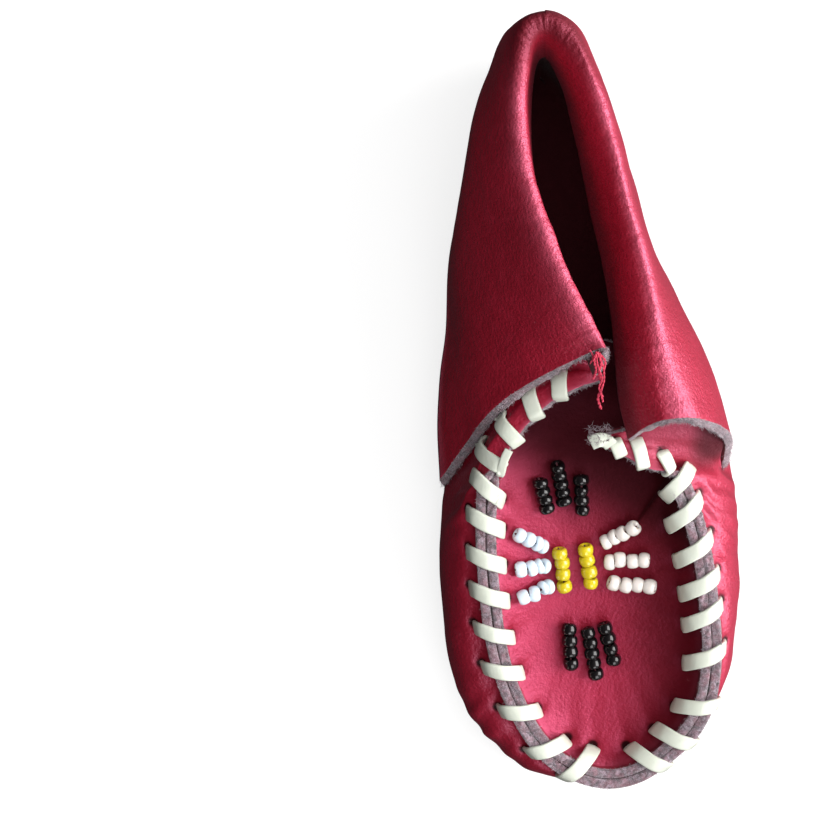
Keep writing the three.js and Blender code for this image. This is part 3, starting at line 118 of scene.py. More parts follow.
CUFF = [[[4.19,-4.17,33.6],[6.49,-2.33,37.0],[9.35,-1.2,39.8],[13.91,-1.21,38.5],[19.33,-3.37,27.0],[19.99,-7.56,14.0]],[[2.95,1.18,33.2],[4.75,3.12,38.0],[7.86,
    4.89,41.2],[11.57,5.05,39.8],[17.38,3.2,28.0],[18.92,0.37,14.5]],[[2.27,7.39,32.8],[3.88,9.11,38.5],[6.69,10.83,42.0],[9.57,11.01,40.6],[14.82,9.47,28.0],
    [16.42,7.11,14.5]],[[1.45,13.89,32.4],[3.02,15.37,38.8],[5.68,16.89,42.6],[7.85,17.22,41.3],[11.36,16.29,28.5],[13.01,14.43,15.0]],[[0.61,20.4,32.2],[2.03,
    21.63,39.0],[4.14,23.23,43.0],[6.01,23.57,41.8],[7.97,23.05,30.0],[9.13,21.71,16.0]],[[-0.8,26.9,32.2],[0.48,28.15,39.3],[2.32,29.55,43.4],[4.18,29.89,
    42.4],[5.78,29.8,31.0],[6.43,28.66,17.0]],[[-2.22,33.68,32.2],[-1.07,34.52,39.7],[0.92,35.59,43.8],[2.63,36.08,42.8],[3.87,36.24,32.0],[4.18,35.3,18.0]],
    [[-3.64,40.16,32.4],[-2.75,40.61,40.0],[-1.04,41.89,44.2],[0.81,42.53,43.2],[1.83,42.65,33.0],[2.09,41.91,19.0]],[[-4.92,45.22,32.6],[-4.44,45.85,40.4],
    [-3.26,47.63,44.6],[-1.71,48.52,44.0],[-0.17,48.24,33.5],[0.29,47.04,20.0]],[[-6.34,48.59,32.8],[-6.4,49.69,40.8],[-5.61,51.16,45.0],[-4.2,53.17,44.2],
    [-2.87,53.39,34.0],[-2.52,51.57,21.0]],[[-7.33,49.7,33.0],[-7.79,51.06,41.0],[-7.82,52.51,45.2],[-7.93,54.91,44.6],[-7.53,55.58,34.5],[-7.0,55.76,21.0]],
    [[-8.45,48.87,32.8],[-9.17,49.97,40.8],[-9.74,51.16,45.0],[-11.5,53.43,44.4],[-13.3,52.77,34.5],[-12.5,50.99,21.0]],[[-9.15,45.22,32.6],[-9.85,46.13,40.4],
    [-10.42,47.05,44.8],[-12.73,48.52,44.0],[-15.82,47.34,34.0],[-15.08,45.59,20.0]],[[-9.43,40.16,32.4],[-10.11,40.89,40.0],[-10.68,42.14,44.4],[-13.26,42.79,
    43.4],[-17.35,41.8,33.0],[-17.09,40.02,19.0]],[[-9.0,33.68,32.2],[-9.69,34.52,39.7],[-10.25,35.57,44.0],[-12.97,35.94,42.8],[-18.31,35.29,31.5],[-18.53,
    32.97,18.0]],[[-7.44,26.9,32.2],[-8.14,28.15,39.3],[-8.58,29.26,43.6],[-11.57,29.08,42.2],[-18.98,28.08,29.0],[-20.12,25.45,17.0]],[[-5.18,20.4,32.2],[-5.76,
    21.77,39.0],[-6.22,22.94,43.2],[-9.48,22.19,41.6],[-18.8,20.37,26.5],[-21.27,17.32,16.0]],[[-2.93,13.89,32.4],[-3.39,15.37,38.8],[-3.57,16.89,42.6],[-6.96,
    15.85,41.0],[-17.93,12.66,26.0],[-21.85,9.74,15.0]],[[-1.12,8.8,32.8],[-1.14,10.22,38.4],[-1.19,12.22,42.0],[-4.57,10.87,40.4],[-16.79,6.36,26.0],[-22.13,
    2.13,14.0]],[[0.23,5.12,34.0],[0.57,6.47,37.8],[0.66,8.36,41.0],[-1.77,7.97,39.8],[-13.84,0.91,28.2],[-22.13,-10.22,13.0]]]
PLUG = [[[2.97,-52.74,10.6],[2.97,-52.74,13.0]],[[6.62,-51.81,11.1],[6.62,-51.81,13.5]],[[10.2,-49.13,12.0],[10.2,-49.13,14.4]],[[13.24,-46.05,13.2],[13.24,-46.05,
    15.6]],[[15.12,-42.22,14.6],[15.12,-42.22,17.0]],[[15.8,-37.92,16.0],[15.8,-37.92,18.4]],[[15.82,-33.36,17.4],[15.82,-33.36,19.8]],[[15.27,-28.45,18.8],
    [15.27,-28.45,21.2]],[[14.58,-23.25,20.2],[14.58,-23.25,22.6]],[[13.48,-18.28,21.6],[13.48,-18.28,24.0]],[[11.99,-13.69,23.0],[11.99,-13.69,25.4]],[[10.09,
    -11.5,23.2],[10.29,-11.28,24.3]],[[9.51,-6.2,23.4],[10.03,-5.12,23.4]],[[7.88,-1.94,24.2],[8.25,-0.8,24.2]],[[5.69,2.33,24.6],[5.92,3.51,24.6]],[[2.37,
    5.47,24.8],[2.47,6.67,24.8]],[[-1.22,6.04,24.8],[-1.27,7.24,24.8]],[[-4.4,4.04,24.8],[-4.57,5.23,24.8]],[[-6.84,0.34,24.6],[-7.14,1.5,24.6]],[[-9.66,-4.48,
    24.4],[-10.15,-3.38,24.4]],[[-11.45,-8.27,24.2],[-12.32,-7.77,24.2]],[[-13.82,-11.04,23.8],[-13.82,-11.04,26.2]],[[-14.17,-15.06,22.6],[-14.17,-15.06,25.0]],
    [[-14.14,-20.01,21.2],[-14.14,-20.01,23.6]],[[-13.68,-25.77,19.6],[-13.68,-25.77,22.0]],[[-12.93,-31.85,17.8],[-12.93,-31.85,20.2]],[[-11.62,-37.46,16.0],
    [-11.62,-37.46,18.4]],[[-9.75,-42.22,14.4],[-9.75,-42.22,16.8]],[[-7.35,-46.65,13.0],[-7.35,-46.65,15.4]],[[-4.21,-50.14,11.8],[-4.21,-50.14,14.2]],[[-0.63,
    -52.05,11.0],[-0.63,-52.05,13.4]]]
PLUG_CENTRE = [-0.04,-26.13,18.0]
PLUG_CROWN = [[-55.39,10.2],[-52.36,10.9],[-48.53,12.3],[-42.5,13.9],[-35.01,15.9],[-27.58,18.0],[-20.22,20.0],[-12.92,22.0],[-7.13,23.2],[1.5,23.8],[7.25,24.0]]
LACE_LEFT = [[-1.961,-53.088,13.528,-0.915,0.38,0.136,-0.383,-0.924,0.0,0.126,-0.052,0.991,1.45],[-6.828,-49.634,14.738,-0.654,0.726,0.212,-0.743,-0.669,0.0,0.142,
    -0.158,0.977,1.45],[-10.504,-44.016,16.446,-0.421,0.871,0.252,-0.9,-0.435,0.0,0.109,-0.226,0.968,1.45],[-13.006,-37.889,18.4,-0.282,0.917,0.282,-0.956,
    -0.294,-0.0,0.083,-0.269,0.96,1.45],[-14.293,-32.457,20.092,-0.173,0.945,0.279,-0.984,-0.18,0.0,0.05,-0.274,0.96,1.45],[-15.048,-26.657,21.793,-0.098,0.958,
    0.269,-0.995,-0.101,0.0,0.027,-0.267,0.963,1.45],[-15.509,-21.525,23.203,-0.065,0.964,0.258,-0.998,-0.067,-0.0,0.017,-0.257,0.966,1.45],[-15.654,-16.063,
    24.709,0.019,0.966,0.259,-1.0,0.02,0.0,-0.005,-0.258,0.966,1.45],[-15.428,-11.262,26.054,0.256,0.931,0.26,-0.963,0.269,-0.014,-0.083,-0.246,0.966,1.45],
    [-14.364,-7.09,27.241,0.691,0.674,0.262,0.701,-0.713,-0.015,-0.177,-0.194,0.965,0.6],[-11.445,-3.509,29.172,0.594,0.765,0.25,0.52,-0.128,-0.844,0.614,-0.632,
    0.474,0.6],[-8.31,-0.172,30.28,0.706,0.674,0.216,0.296,-0.005,-0.955,0.643,-0.738,0.203,0.6],[-5.764,2.455,30.343,0.838,0.513,0.185,0.499,-0.858,0.119,
    -0.22,0.007,0.976,0.6]]
LACE_RIGHT = [[9.193,-51.866,13.906,0.78,0.602,0.169,0.611,-0.792,-0.0,-0.133,-0.103,0.986,1.45],[12.958,-48.585,14.969,0.691,0.684,0.234,0.704,-0.711,-0.0,-0.167,-0.165,
    0.972,1.45],[16.253,-43.366,16.774,0.338,0.903,0.267,0.937,-0.35,-0.0,-0.094,-0.25,0.964,1.45],[17.339,-35.878,19.044,0.005,0.962,0.273,1.0,-0.005,-0.0,
    -0.001,-0.273,0.962,1.45],[16.881,-29.633,20.836,-0.125,0.957,0.26,0.992,0.13,0.0,0.034,-0.258,0.966,1.45],[16.291,-24.868,22.096,-0.129,0.96,0.249,0.991,
    0.133,0.0,0.033,-0.247,0.968,1.45],[15.308,-19.61,23.524,-0.222,0.942,0.253,0.973,0.23,0.0,0.058,-0.246,0.967,1.45],[13.83,-14.426,24.995,-0.32,0.911,0.26,
    0.944,0.331,0.0,0.086,-0.245,0.966,1.45],[11.921,-10.279,26.435,-0.659,0.686,0.309,0.713,0.7,-0.033,0.239,-0.199,0.95,1.45],[9.991,-7.983,27.583,-0.939,
    -0.044,0.342,0.03,-0.998,-0.047,0.344,-0.034,0.938,0.6],[5.206,-7.202,29.975,-0.841,0.46,0.286,-0.231,0.172,-0.958,-0.489,-0.871,-0.038,0.6],[2.692,-5.939,
    30.605,-0.894,0.415,0.171,-0.149,0.087,-0.985,-0.423,-0.906,-0.016,0.6],[0.487,-4.651,31.088,-0.42,0.867,0.268,-0.079,0.259,-0.963,-0.904,-0.425,-0.041,
    0.6]]
BEADS = {"white_left_1":[[-10.64,-18.13,21.86],[-9.34,-18.71,21.7],[-8.03,-19.37,21.52],[-7.31,-19.73,21.42]],"white_left_2":[[-10.46,-23.1,20.5],[-8.86,-22.95,
    20.54],[-7.71,-22.66,20.62],[-6.98,-22.66,20.62]],"white_left_3":[[-9.98,-27.22,19.38],[-8.39,-26.7,19.52],[-7.09,-25.89,19.74],[-6.37,-25.74,19.78]],"yellow_1":[[-4.75,
    -20.76,21.14],[-4.36,-22.22,20.74],[-4.23,-23.89,20.28],[-3.97,-25.6,19.82]],"yellow_2":[[-1.0,-20.32,21.26],[-0.74,-21.82,20.85],[-0.38,-23.54,20.38],
    [-0.14,-25.08,19.96]],"white_right_1":[[1.94,-19.15,21.58],[3.08,-18.42,21.78],[4.37,-17.83,21.94],[5.8,-17.11,22.14]],"white_right_2":[[2.56,-22.07,20.78],
    [4.0,-21.78,20.86],[5.89,-21.87,20.84],[7.48,-21.78,20.86]],"white_right_3":[[3.19,-25.16,19.94],[4.94,-25.45,19.86],[6.68,-25.45,19.86],[8.42,-25.74,19.78]],
    "black_upper_1":[[-7.76,-10.48,23.8],[-7.41,-11.7,23.55],[-7.07,-12.92,23.29],[-6.71,-14.15,22.95]],"black_upper_2":[[-5.25,-8.18,24.28],[-4.99,-9.41,24.02],
    [-4.74,-10.65,23.76],[-4.48,-11.89,23.51],[-4.22,-13.12,23.24]],"black_upper_3":[[-1.77,-10.07,23.89],[-1.72,-11.52,23.59],[-1.67,-12.96,23.28],[-1.62,
    -14.41,22.88]],"black_lower_1":[[-3.21,-32.02,18.02],[-3.11,-33.71,17.54],[-3.02,-35.39,17.07],[-2.92,-37.08,16.62]],"black_lower_2":[[-0.46,-32.6,17.86],
    [-0.15,-34.13,17.42],[0.16,-35.66,17.0],[0.47,-37.2,16.59],[0.78,-38.73,16.18]],"black_lower_3":[[2.05,-31.85,18.07],[2.48,-33.4,17.63],[2.9,-34.95,17.19],
    [3.33,-36.51,16.77]]}

MM = 0.001
LEATHER = 1.2
Q = 1.0
BOTTOM = np.array(BOTTOM, float); CUFF = np.array(CUFF, float); PLUG = np.array(PLUG, float)
CENTRE = np.array(PLUG_CENTRE, float); CROWN = np.array(PLUG_CROWN, float)
LACES = {"left": np.array(LACE_LEFT, float), "right": np.array(LACE_RIGHT, float)}


# ------------------------------------------------------------------ numeric helpers
def cr(P, u, closed):
    """Catmull-Rom through P (first axis) at the positions u."""
    P = np.asarray(P, float); u = np.asarray(u, float); n = len(P)
    if closed:
        i = np.floor(u).astype(int); f = u - i
        g = lambda k: P[k % n]
        p0, p1, p2, p3 = g(i - 1), g(i), g(i + 1), g(i + 2)
    else:
        Q = np.concatenate([[2 * P[0] - P[1]], P, [2 * P[-1] - P[-2]]])
        i = np.clip(np.floor(u).astype(int), 0, n - 2); f = u - i
        p0, p1, p2, p3 = Q[i], Q[i + 1], Q[i + 2], Q[i + 3]
    f = f.reshape(f.shape + (1,) * (P.ndim - 1))
    return .5 * (2 * p1 + (p2 - p0) * f + (2 * p0 - 5 * p1 + 4 * p2 - p3) * f ** 2 + (3 * p1 - p0 - 3 * p2 + p3) * f ** 3)


def grid(table, us, vs, closed):
    a = cr(table, us, closed)                       # (U, rings, 3)
    return cr(np.swapaxes(a, 0, 1), vs, False)      # (V, U, 3)


def unit(v):
    return v / np.maximum(np.linalg.norm(v, axis=-1, keepdims=True), 1e-9)


def normals(g, closed):
    if closed:
        du = np.roll(g, -1, 1) - np.roll(g, 1, 1)
    else:
        du = np.gradient(g, axis=1)
    dv = np.gradient(g, axis=0)
    return unit(np.cross(du, dv))


def soft_normals(g, closed, passes=2):
    """Area-weighted normals, blurred a little so thin cells do not turn them."""
    du = np.roll(g, -1, 1) - np.roll(g, 1, 1) if closed else np.gradient(g, axis=1)
    n = np.cross(du, np.gradient(g, axis=0))
    for _ in range(passes):
        if closed:
            n = (np.roll(n, -1, 1) + np.roll(n, 1, 1) + 2 * n) / 4
        else:
            m = n.copy(); m[:, 1:-1] = (n[:, 2:] + n[:, :-2] + 2 * n[:, 1:-1]) / 4; n = m
        m = n.copy(); m[1:-1] = (n[2:] + n[:-2] + 2 * n[1:-1]) / 4; n = m
    return unit(n)


def smooth(a, b, x):
    t = np.clip((x - a) / (b - a), 0, 1)
    return t * t * (3 - 2 * t)


def vnoise(p, seed=0):
    """Smooth value noise, -1..1, lattice of 1 unit."""
    p = np.asarray(p, float)
    i = np.floor(p).astype(np.int64); f = p - i; f = f * f * (3 - 2 * f)
    out = 0
    for dx in (0, 1):
        for dy in (0, 1):
            for dz in (0, 1):
                h = (i[..., 0] + dx) * 374761393 + (i[..., 1] + dy) * 668265263 + (i[..., 2] + dz) * 1274126177 + seed * 974634777
                h = (h ^ (h >> 13)) * 1274126177
                h = (h ^ (h >> 16)) & 0xFFFF
                w = (f[..., 0] if dx else 1 - f[..., 0]) * (f[..., 1] if dy else 1 - f[..., 1]) * (f[..., 2] if dz else 1 - f[..., 2])
                out = out + w * (h / 32767.5 - 1)
    return out


def fbm(p, lam, seed=0, octaves=3, gain=.5):
    a, s, out = 1.0, 1.0 / lam, 0
    for k in range(octaves):
        out = out + a * vnoise(p * s + 13.7 * k, seed + k); a *= gain; s *= 2.03
    return out


# ------------------------------------------------------------------ mesh building
class Builder:
    def __init__(self):
        self.v, self.f, self.m, self.attr, self.n = [], [], [], {}, 0

    def add(self, verts, **attr):
        verts = np.asarray(verts, float).reshape(-1, 3)
        start = self.n
        self.v.append(verts); self.n += len(verts)
        for k in set(self.attr) | set(attr):
            a = attr.get(k, 0.0)
            a = np.broadcast_to(np.asarray(a, float).reshape(-1) if np.ndim(a) else a, (len(verts),)).astype(float)
            self.attr.setdefault(k, [np.zeros(start)] if start else [])
            self.attr[k].append(np.array(a))
        return np.arange(start, self.n)

    def faces(self, q, mat=0):
        q = np.asarray(q)
        self.f += q.reshape(-1, q.shape[-1]).tolist()
        self.m += [mat] * (q.size // q.shape[-1])

    def sheet(self, idx, closed, mat=0, flip=False):
        """idx (V,U) vertex ids."""
        a = idx[:-1]; b = idx[1:]
        if closed:
            q = np.stack([a, np.roll(a, -1, 1), np.roll(b, -1, 1), b], -1)
        else:
            q = np.stack([a[:, :-1], a[:, 1:], b[:, 1:], b[:, :-1]], -1)
        q = q.reshape(-1, 4)
        self.faces(q[:, ::-1] if flip else q, mat)

    def make(self, name, mats, smooth_angle=None):
        v = np.concatenate(self.v) * MM
        me = bpy.data.meshes.new(name)
        me.from_pydata(v.tolist(), [], self.f)
        for m in mats:
            me.materials.append(m)
        me.polygons.foreach_set("material_index", self.m)
        me.polygons.foreach_set("use_smooth", [True] * len(me.polygons))
        rest = me.attributes.new("rest", "FLOAT_VECTOR", "POINT")
        rest.data.foreach_set("vector", (v / MM).ravel())
        for k, parts in self.attr.items():
            arr = np.concatenate(parts)
            if len(arr) < self.n:
                arr = np.concatenate([arr, np.zeros(self.n - len(arr))])
            at = me.attributes.new(k, "FLOAT", "POINT")
            at.data.foreach_set("value", arr)
        me.validate()
        ob = bpy.data.objects.new(name, me)
        bpy.context.scene.collection.objects.link(ob)
        return ob


def fibres(b, points, dirs, length, radius, mat, seed, droop=0.4):
    """Short tapering hairs, three-sided, added to a builder."""
    r = np.random.RandomState(seed)
    n = len(points)
    L = length * r.uniform(.4, 1.3, n)[:, None]
    d0 = unit(dirs + r.normal(0, .55, (n, 3)))
    d1 = unit(d0 + r.normal(0, droop, (n, 3)))
    p0, p1 = points, points + d0 * L * .5
    p2 = p1 + d1 * L * .5
    side = unit(np.cross(d0, np.array([.3, .2, .93])))
    up = unit(np.cross(side, d0))
    ring = []
    for p, s in ((p0, 1.0), (p1, .75), (p2, .15)):
        for k in range(3):
            a = 2 * math.pi * k / 3
            ring.append(p + (side * math.cos(a) + up * math.sin(a)) * radius * s)
    V = np.stack(ring, 1)                          # (n, 9, 3)
    ids = b.add(V.reshape(-1, 3)).reshape(n, 9)
    for lv in (0, 3):
        for k in range(3):
            j = (k + 1) % 3
            b.faces(np.stack([ids[:, lv + k], ids[:, lv + j], ids[:, lv + 3 + j], ids[:, lv + 3 + k]], -1), mat)
    b.faces(ids[:, [6, 7, 8]], mat)


def tube(b, pts, radius, sides=8, mat=0, **attr):
    pts = np.asarray(pts, float)
    t = unit(np.gradient(pts, axis=0))
    ref = np.array([0.31, 0.17, 0.93])
    n = unit(np.cross(t, ref)); m = np.cross(t, n)
    r = np.broadcast_to(np.asarray(radius, float), (len(pts),))[:, None, None]
    a = np.linspace(0, 2 * math.pi, sides, endpoint=False)
    ring = pts[:, None] + r * (np.cos(a)[None, :, None] * n[:, None] + np.sin(a)[None, :, None] * m[:, None])
    ids = b.add(ring.reshape(-1, 3), **attr).reshape(len(pts), sides)
    b.sheet(ids, True, mat)
    b.faces(ids[0][None, ::-1], mat); b.faces(ids[-1][None], mat)


# ------------------------------------------------------------------ materials
def new_mat(name):
    m = bpy.data.materials.new(name); m.use_nodes = True
    nt = m.node_tree
    for n in list(nt.nodes):
        nt.nodes.remove(n)
    out = nt.nodes.new("ShaderNodeOutputMaterial")
    p = nt.nodes.new("ShaderNodeBsdfPrincipled")
    nt.links.new(p.outputs[0], out.inputs[0])
    return m, nt, p


def attr_node(nt, name):
    a = nt.nodes.new("ShaderNodeAttribute"); a.attribute_name = name
    return a


def noise(nt, vec, scale, detail=3, rough=.55, dist=0.0):
    n = nt.nodes.new("ShaderNodeTexNoise"); n.inputs["Scale"].default_value = scale
    n.inputs["Detail"].default_value = detail; n.inputs["Roughness"].default_value = rough
    n.inputs["Distortion"].default_value = dist
    nt.links.new(vec, n.inputs["Vector"])
    return n.outputs["Fac"]


def math_node(nt, op, a, b=None, clamp=False):
    n = nt.nodes.new("ShaderNodeMath"); n.operation = op; n.use_clamp = clamp
    for k, x in enumerate((a, b)):
        if x is None:
            continue
        if isinstance(x, (int, float)):
            n.inputs[k].default_value = x
        else:
            nt.links.new(x, n.inputs[k])
    return n.outputs[0]


def ramp(nt, fac, stops):
    r = nt.nodes.new("ShaderNodeValToRGB"); nt.links.new(fac, r.inputs[0])
    e = r.color_ramp.elements
    while len(e) > 1:
        e.remove(e[-1])
    e[0].position = stops[0][0]; e[0].color = (*stops[0][1], 1)
    for p, c in stops[1:]:
        q = e.new(p); q.color = (*c, 1)
    return r.outputs[0]


def mix(nt, fac, a, b, kind="MIX"):
    m = nt.nodes.new("ShaderNodeMix"); m.data_type = "RGBA"; m.blend_type = kind
    for k, x in ((0, fac), (6, a), (7, b)):
        if isinstance(x, (int, float)):
            m.inputs[k].default_value = x
        elif isinstance(x, tuple):
            m.inputs[k].default_value = (*x, 1)
        else:
            nt.links.new(x, m.inputs[k])
    return m.outputs[2]


def bump(nt, height, dist, strength, p, prev=None):
    b = nt.nodes.new("ShaderNodeBump"); b.inputs["Distance"].default_value = dist
    b.inputs["Strength"].default_value = strength
    nt.links.new(height, b.inputs["Height"])
    if prev is not None:
        nt.links.new(prev, b.inputs["Normal"])
    return b.outputs[0]


def leather(name, deep, mid, light, rough=.42, grain=1.0, coat=.12, glaze=.125, pebble=.00013, spec=.42):
    m, nt, p = new_mat(name)
    v = attr_node(nt, "rest").outputs["Vector"]
    big = noise(nt, v, .09, 3, .6)
    med = noise(nt, v, .55, 4, .6)
    fine = noise(nt, v, 3.2, 3, .6)
    c = mix(nt, ramp(nt, big, [(.3, (0, 0, 0)), (.7, (1, 1, 1))]), deep, mid)
    c = mix(nt, math_node(nt, "MULTIPLY", ramp(nt, med, [(.45, (0, 0, 0)), (.8, (1, 1, 1))]), .35), c, light)
    # small pale scuffs
    sc = nt.nodes.new("ShaderNodeTexNoise"); sc.inputs["Scale"].default_value = .8; sc.inputs["Detail"].default_value = 6
    sc.inputs["Roughness"].default_value = .75; nt.links.new(v, sc.inputs["Vector"])
    scuff = ramp(nt, sc.outputs["Fac"], [(.665, (0, 0, 0)), (.72, (1, 1, 1))])
    c = mix(nt, math_node(nt, "MULTIPLY", scuff, .28), c, (.62, .26, .32))
    # wear and painted highlight: pale pink on rubbed edges as wear, and along the cuffs' lit fold crests as a painted
    # highlight
    wear = attr_node(nt, "wear").outputs["Fac"]
    wv = math_node(nt, "MULTIPLY", wear, math_node(nt, "ADD", med, .25, True))
    c = mix(nt, wv, c, (.66, .17, .27))
    # painted shade: near-black is mixed in where shade falls, in holes, cavities, the shoe's inside, the tongue under
    # the cuffs and the heel fold
    dark = attr_node(nt, "dark").outputs["Fac"]
    c = mix(nt, dark, c, (.018, .002, .003))
    nt.links.new(c, p.inputs["Base Color"])
    # pebbled grain
    vo = nt.nodes.new("ShaderNodeTexVoronoi"); vo.feature = "SMOOTH_F1"; vo.inputs["Scale"].default_value = 1.75 * grain
    vo.inputs["Smoothness"].default_value = .55
    nt.links.new(v, vo.inputs["Vector"])
    vd = nt.nodes.new("ShaderNodeTexVoronoi"); vd.feature = "SMOOTH_F1"; vd.inputs["Scale"].default_value = 3.9 * grain
    vd.inputs["Smoothness"].default_value = .5
    nt.links.new(v, vd.inputs["Vector"])
    h = math_node(nt, "ADD", math_node(nt, "MULTIPLY", vo.outputs["Distance"], .75), math_node(nt, "MULTIPLY", vd.outputs["Distance"], .45))
    h = math_node(nt, "ADD", h, math_node(nt, "MULTIPLY", fine, .5))
    wr = noise(nt, v, .42, 5, .62, .6)
    b0 = bump(nt, wr, .00016, .5, p)
    b1 = bump(nt, h, pebble, .75, p, b0)
    nt.links.new(b1, p.inputs["Normal"]); nt.links.new(b1, p.inputs["Coat Normal"])
    rr = ramp(nt, fine, [(.25, (rough - .07,) * 3), (.75, (rough + .1,) * 3)])
    # the leather turns matt where shade is painted
    rr2 = mix(nt, dark, rr, (.9, .9, .9))
    nt.links.new(rr2, p.inputs["Roughness"])
    p.inputs["Specular IOR Level"].default_value = spec
    p.inputs["Specular Tint"].default_value = (1.0, .74, .84, 1)
    p.inputs["Coat Weight"].default_value = coat
    p.inputs["Coat Roughness"].default_value = .27
    p.inputs["Coat Tint"].default_value = (1.0, .86, .93, 1)
    gl = nt.nodes.new("ShaderNodeBsdfAnisotropic"); gl.inputs["Color"].default_value = (1.0, .21, .43, 1)
    gl.inputs["Roughness"].default_value = .52; nt.links.new(b1, gl.inputs["Normal"])
    ms = nt.nodes.new("ShaderNodeMixShader")
    # the glaze lobe is switched off where shade is painted
    nt.links.new(mix(nt, dark, (glaze, glaze, glaze), (0.0, 0.0, 0.0)), ms.inputs[0])
    nt.links.new(p.outputs[0], ms.inputs[1]); nt.links.new(gl.outputs[0], ms.inputs[2])
    nt.links.new(ms.outputs[0], [n for n in nt.nodes if n.type == "OUTPUT_MATERIAL"][0].inputs[0])
    p.inputs["Sheen Weight"].default_value = .02
    p.inputs["Sheen Roughness"].default_value = .45
    p.inputs["Sheen Tint"].default_value = (1.0, .55, .72, 1)
    m.diffuse_color = (*mid, 1)
    return m


def flesh(name, a, b):
    m, nt, p = new_mat(name)
    v = attr_node(nt, "rest").outputs["Vector"]
    n = noise(nt, v, 2.2, 5, .7, .4)
    n2 = noise(nt, v, .5, 3, .6)
    c = mix(nt, n, a, b)
    c = mix(nt, math_node(nt, "MULTIPLY", n2, .5), c, tuple(x * .45 for x in a))
    # painted shade: the flesh side is darkened to near-black by the same mask
    dark = attr_node(nt, "dark").outputs["Fac"]
    c = mix(nt, dark, c, (.012, .002, .003))
    nt.links.new(c, p.inputs["Base Color"])
    nt.links.new(bump(nt, noise(nt, v, 6, 4, .7), .00012, .8, p), p.inputs["Normal"])
    p.inputs["Roughness"].default_value = .95
    p.inputs["Specular IOR Level"].default_value = .15
    p.inputs["Sheen Weight"].default_value = .08
    p.inputs["Sheen Roughness"].default_value = .6
    m.diffuse_color = (*a, 1)
    return m


def raw_edge(name, light, dark_):
    m, nt, p = new_mat(name)
    v = attr_node(nt, "rest").outputs["Vector"]
    n = noise(nt, v, 1.7, 7, .8, .8)
    n2 = noise(nt, v, .9, 3, .6)
    c = ramp(nt, n, [(.40, dark_), (.51, tuple(x * .35 + y * .65 for x, y in zip(light, dark_))), (.62, light)])
    c = mix(nt, math_node(nt, "MULTIPLY", ramp(nt, n2, [(.4, (0, 0, 0)), (.7, (1, 1, 1))]), .5), c, (.30, .06, .10))
    nt.links.new(c, p.inputs["Base Color"])
    nt.links.new(bump(nt, n, .0004, .9, p), p.inputs["Normal"])
    p.inputs["Roughness"].default_value = .95
    p.inputs["Specular IOR Level"].default_value = .15
    p.inputs["Sheen Weight"].default_value = .5
    p.inputs["Sheen Roughness"].default_value = .7
    m.diffuse_color = (*light, 1)
    return m


def simple(name, col, rough, spec=.5, coat=0.0, sss=0.0, var=.0, vscale=1.0, bscale=0.0, bdist=.00005):
    m, nt, p = new_mat(name)
    v = attr_node(nt, "rest").outputs["Vector"]
    t = attr_node(nt, "tint").outputs["Fac"]
    n = noise(nt, v, vscale, 3, .6)
    f = math_node(nt, "ADD", math_node(nt, "MULTIPLY", t, .6), math_node(nt, "MULTIPLY", n, .4))
    c = mix(nt, f, tuple(max(0, x * (1 - var)) for x in col), tuple(min(1, x * (1 + var)) for x in col))
    nt.links.new(c, p.inputs["Base Color"])
    if bscale:
        nt.links.new(bump(nt, noise(nt, v, bscale, 4, .6), bdist, .7, p), p.inputs["Normal"])
    p.inputs["Roughness"].default_value = rough
    p.inputs["Specular IOR Level"].default_value = spec
    p.inputs["Coat Weight"].default_value = coat
    p.inputs["Coat Roughness"].default_value = .05
    p.inputs["Subsurface Weight"].default_value = sss
    p.inputs["Subsurface Radius"].default_value = (.0008, .0007, .0006)
    p.inputs["Subsurface Scale"].default_value = 1.0
    m.diffuse_color = (*col, 1)
    return m


RED_DEEP, RED, RED_LIGHT = (.235, .004, .014), (.300, .007, .022), (.38, .022, .05)
M_BOT = leather("leather_bottom", RED_DEEP, RED, RED_LIGHT)
M_PLUG = leather("leather_plug", (.175, .0020, .007), (.225, .004, .013), (.29, .010, .026), rough=.44, coat=.0, glaze=.14, pebble=.00011, spec=.12)
M_CUFF = leather("leather_cuff", (.255, .004, .013), (.32, .007, .021), (.41, .02, .045), coat=.08, rough=.38, pebble=.00019)
M_FLESH = flesh("leather_flesh_side", (.13, .012, .02), (.22, .035, .05))
M_EDGE = raw_edge("leather_cut_edge", (.40, .30, .37), (.030, .010, .018))
M_FIBRE = raw_edge("leather_fibres", (.80, .70, .80), (.06, .03, .045))
M_LACE = simple("lacing_cream", (.58, .61, .53), .40, spec=.45, coat=.10, sss=.10, var=.07, vscale=.5, bscale=2.5, bdist=.00006)
M_THREAD = simple("thread_red", (.58, .04, .085), .8, var=.3, vscale=2.5, bscale=6)
M_THREAD_P = simple("thread_pale", (.55, .42, .40), .85, var=.3, vscale=2.5, bscale=6)
M_BEADTHREAD = simple("bead_thread", (.10, .03, .04), .7, var=.2)
M_WB = simple("bead_white_blue", (.62, .73, .82), .16, spec=.6, coat=.6, sss=.25, var=.06)
M_WC = simple("bead_white_cream", (.74, .69, .65), .16, spec=.6, coat=.6, sss=.25, var=.06)
M_YE = simple("bead_yellow", (.58, .46, .012), .16, spec=.6, coat=.6, sss=.1, var=.12)
M_BK = simple("bead_black", (.004, .003, .0035), .14, spec=.35, coat=.35, var=.2)

def holes_effect(P, N, holes, radius=1.15, depth=.75):
    """Pulls the sheet in round each hole; returns points and a mask of painted shade that darkens round each hole."""
    dark = np.zeros(P.shape[:-1]); off = np.zeros(P.shape[:-1])
    for h in holes:
        d = np.linalg.norm(P - h, axis=-1)
        off = np.maximum(off, np.exp(-(d / radius) ** 2) * depth)
        dark = np.maximum(dark, smooth(radius * 1.02, radius * .62, d))
    return P - N * off[..., None], dark



